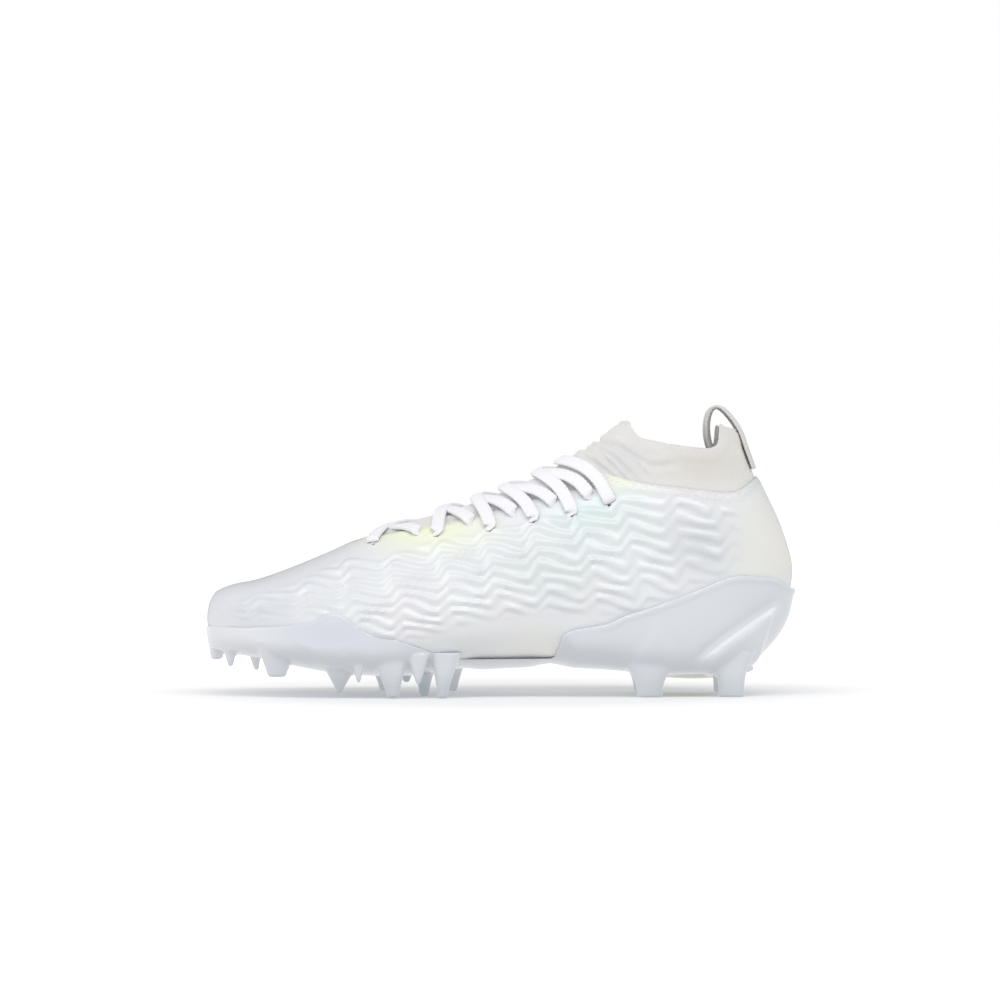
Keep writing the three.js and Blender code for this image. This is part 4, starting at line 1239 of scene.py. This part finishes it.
# %% Shell material
SHELL_WHITE = (0.81, 0.82, 0.85)
SHELL_TINTS_AND_PAINTED_LIGHT = [
    # centre in mm, reach in mm, colour, strength
    ((-34, 0, 80), (60, 70, 22), (0.96, 1.00, 0.70), 0.9),
    ((58, 0, 106), (34, 60, 12), (0.84, 0.88, 0.62), 0.8),
    ((50, 0, 86), (56, 90, 24), (0.68, 0.80, 0.79), 0.8),
    ((24, 0, 62), (60, 90, 24), (0.66, 0.72, 0.71), 0.7),
    ((96, 0, 74), (40, 90, 30), (0.63, 0.65, 0.68), 0.8),
    ((128, 0, 72), (36, 90, 48), (0.85, 0.84, 0.77), 0.9),
    # partly the beige of the fabric, partly painted light: near-white to brighten the shade where the shell faces down
    ((28, 0, 22), (84, 90, 30), (1.0, 0.985, 0.955), 1.0),
    ((-112, 0, 50), (62, 90, 34), (0.77, 0.78, 0.83), 0.9),
    ((-112, 0, 36), (36, 90, 18), (0.62, 0.64, 0.67), 0.7),
]

shell_paint, tree, shader = new_material(
    "pearl_shell", SHELL_WHITE, 0.36, Specular_IOR_Level=0.55, Coat_Weight=0.35, Coat_Roughness=0.22,
    Thin_Film_IOR=1.58)
film_noise = add_node(tree, "ShaderNodeTexNoise", {"Vector": object_position(tree), "Scale": 38.0, "Detail": 0.0})
film = add_node(tree, "ShaderNodeMapRange", {"Value": film_noise.outputs["Fac"], "From Min": 0.3, "From Max": 0.7,
                                             "To Min": 390.0, "To Max": 480.0})
tree.links.new(film.outputs["Result"], shader.inputs["Thin Film Thickness"])
shell_colour_and_painted_light = colour_patches(tree, SHELL_WHITE, SHELL_TINTS_AND_PAINTED_LIGHT)
shade_mask(shell, "collar_band", lambda p: 1 - smoothstep(np.abs(collar_depth(p[:, 0], p[:, 2])), 3 * MM, 7 * MM))
speckle = add_node(tree, "ShaderNodeTexNoise", {"Vector": object_position(tree), "Scale": 1300.0, "Detail": 1.0})
dark_specks = add_node(tree, "ShaderNodeMapRange", {"Value": speckle.outputs["Fac"], "From Min": 0.62, "From Max": 0.42,
                                                    "To Min": 0.0, "To Max": 0.55})
band = math_node(tree, "MULTIPLY", dark_specks.outputs["Result"], read_mask(tree, "collar_band"))
tree.links.new(tint_by(tree, band, shell_colour_and_painted_light, (0.66, 0.65, 0.66)), shader.inputs["Base Color"])
grain = add_node(tree, "ShaderNodeTexNoise", {"Vector": object_position(tree), "Scale": 700.0, "Detail": 2.0})
tree.links.new(bump(tree, grain.outputs["Fac"], 0.12 * MM), shader.inputs["Normal"])
dress(shell, shell_paint)

# %% Knit, plate, footbed, lace and webbing materials
KNIT_TINTS_AND_PAINTED_LIGHT = [
    # centre in mm, reach in mm, colour, strength
    # partly the tongue's own pale cool colour, partly painted light that lifts the shade under the laces
    ((6, 0, 86), (62, 40, 50), (0.95, 0.95, 0.97), 1.0),
    ((62, 0, 112), (26, 60, 20), (0.68, 0.68, 0.70), 0.8),
    ((98, 0, 112), (30, 60, 16), (0.66, 0.62, 0.54), 0.9),
    ((120, 0, 122), (12, 60, 14), (0.82, 0.77, 0.70), 0.7),
]
KNIT_WHITE = (0.76, 0.75, 0.73)
knit_paint, tree, shader = new_material("collar_knit", KNIT_WHITE, 0.92, Sheen_Weight=0.25, Sheen_Roughness=0.5)
tree.links.new(colour_patches(tree, KNIT_WHITE, KNIT_TINTS_AND_PAINTED_LIGHT), shader.inputs["Base Color"])
stitches = add_node(tree, "ShaderNodeTexVoronoi", {"Vector": object_position(tree), "Scale": 1100.0})
tree.links.new(bump(tree, stitches.outputs["Distance"], 0.14 * MM), shader.inputs["Normal"])
dress(sock, knit_paint)

def painted_fin_highlight(points):
    """1 just under the ridge of the rear fin, fading within 6 mm: a painted highlight for the light that the concave
    fin face catches there.
    """
    x, z = points[:, 0], points[:, 2]
    gap, run = line_distance(x, z, FIN_RIDGE)
    under = z < np.interp(x, FIN_RIDGE[:, 0], FIN_RIDGE[:, 1])
    ends = smoothstep(run, 0.05, 0.3) * (1 - smoothstep(run, 0.85, 1.0))
    return under * ends * smoothstep(gap, 0, 0.8 * MM) * (1 - smoothstep(gap, 1.5 * MM, 7 * MM))


plate_paint, tree, shader = new_material("moulded_plate", (0.72, 0.75, 0.80), 0.24, Specular_IOR_Level=0.6,
                                         Coat_Weight=0.4, Coat_Roughness=0.12)
PLATE_TINTS_AND_PAINTED_SHADE = [
    # centre in mm, reach in mm, colour, strength
    ((134, 0, 26), (26, 90, 26), (0.79, 0.82, 0.87), 0.9),
    # painted shade: the next two patches darken the plate towards the bottom, on its claws, studs and underside near
    # the ground
    ((-40, 0, 0), (150, 90, 20), (0.40, 0.45, 0.48), 1.0),
    ((92, 0, 0), (60, 90, 18), (0.47, 0.52, 0.55), 1.0),
    # painted shade: dull, darker olive-grey on the heel pad, which lies in shade between the heel studs
    ((88, 0, 10), (40, 30, 12), (0.44, 0.47, 0.25), 1.0),
    ((-130, 0, 30), (50, 90, 26), (0.84, 0.845, 0.88), 0.9),
    ((-80, 0, 32), (40, 90, 18), (0.64, 0.66, 0.76), 0.9),
]
plate_colour_and_painted_shade = colour_patches(tree, (0.72, 0.75, 0.80), PLATE_TINTS_AND_PAINTED_SHADE)
# painted highlight: a lighter tint just under the rear fin's ridge
shade_mask(outsole, "painted_fin_highlight", painted_fin_highlight)
tree.links.new(tint_by(tree, read_mask(tree, "painted_fin_highlight"), plate_colour_and_painted_shade, (0.88, 0.905, 0.94)),
               shader.inputs["Base Color"])
haze = add_node(tree, "ShaderNodeTexNoise", {"Vector": object_position(tree), "Scale": 160.0, "Detail": 3.0})
tree.links.new(bump(tree, haze.outputs["Fac"], 0.03 * MM), shader.inputs["Normal"])
dress(outsole, plate_paint)

bed_paint, tree, shader = new_material("footbed_cloth", (0.84, 0.84, 0.85), 0.95, Sheen_Weight=0.2)
weave = add_node(tree, "ShaderNodeTexVoronoi", {"Vector": object_position(tree), "Scale": 900.0})
tree.links.new(bump(tree, weave.outputs["Distance"], 0.15 * MM), shader.inputs["Normal"])
dress(footbed, bed_paint)

lace_paint, tree, shader = new_material("woven_lace", (0.93, 0.92, 0.96), 0.8, Sheen_Weight=0.3)
threads = add_node(tree, "ShaderNodeTexVoronoi", {"Vector": object_position(tree), "Scale": 2600.0})
tree.links.new(bump(tree, threads.outputs["Distance"], 0.1 * MM), shader.inputs["Normal"])
for lace in laces:
    dress(lace, lace_paint)

LOOP_TAN_AND_PAINTED_SHADE = [
    # centre in mm, reach in mm, colour, strength
    # painted shade: darker grey on the loop's front leg, for the shade on its inner face; the tan below is the
    # webbing's own colour
    ((103, 0, 118), (9, 30, 16), (0.56, 0.55, 0.54), 0.9),
    ((129, 0, 116), (12, 30, 20), (0.70, 0.58, 0.42), 0.8),
]
LOOP_GREY = (0.74, 0.73, 0.72)
loop_paint, tree, shader = new_material("loop_webbing", LOOP_GREY, 0.85, Sheen_Weight=0.2)
tree.links.new(colour_patches(tree, LOOP_GREY, LOOP_TAN_AND_PAINTED_SHADE), shader.inputs["Base Color"])
picks = add_node(tree, "ShaderNodeTexWave", {"Vector": object_position(tree), "Scale": 500.0, "Distortion": 0.5},
                 bands_direction="Z")
tree.links.new(bump(tree, picks.outputs["Fac"], 0.1 * MM), shader.inputs["Normal"])
dress(loop, loop_paint)

# %% Hide the imported parts that the new pieces stand in for, and attach every piece to one root
for piece, slot, nodes in (
        (shell, "shell", ["upper"]), (sock, "knit", ["sock"]), (outsole, "plate", ["outsole"]),
        (footbed, "footbed", ["footbed"]), (loop, "webbing", ["pull_loop"])):
    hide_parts(*nodes)
    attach(piece, "root")
for lace in laces:
    smooth_shading(lace, 80)
    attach(lace, "root")
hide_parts(*[f"lace_crossing_{k}" for k in range(1, 6)], "lace_top_bar")
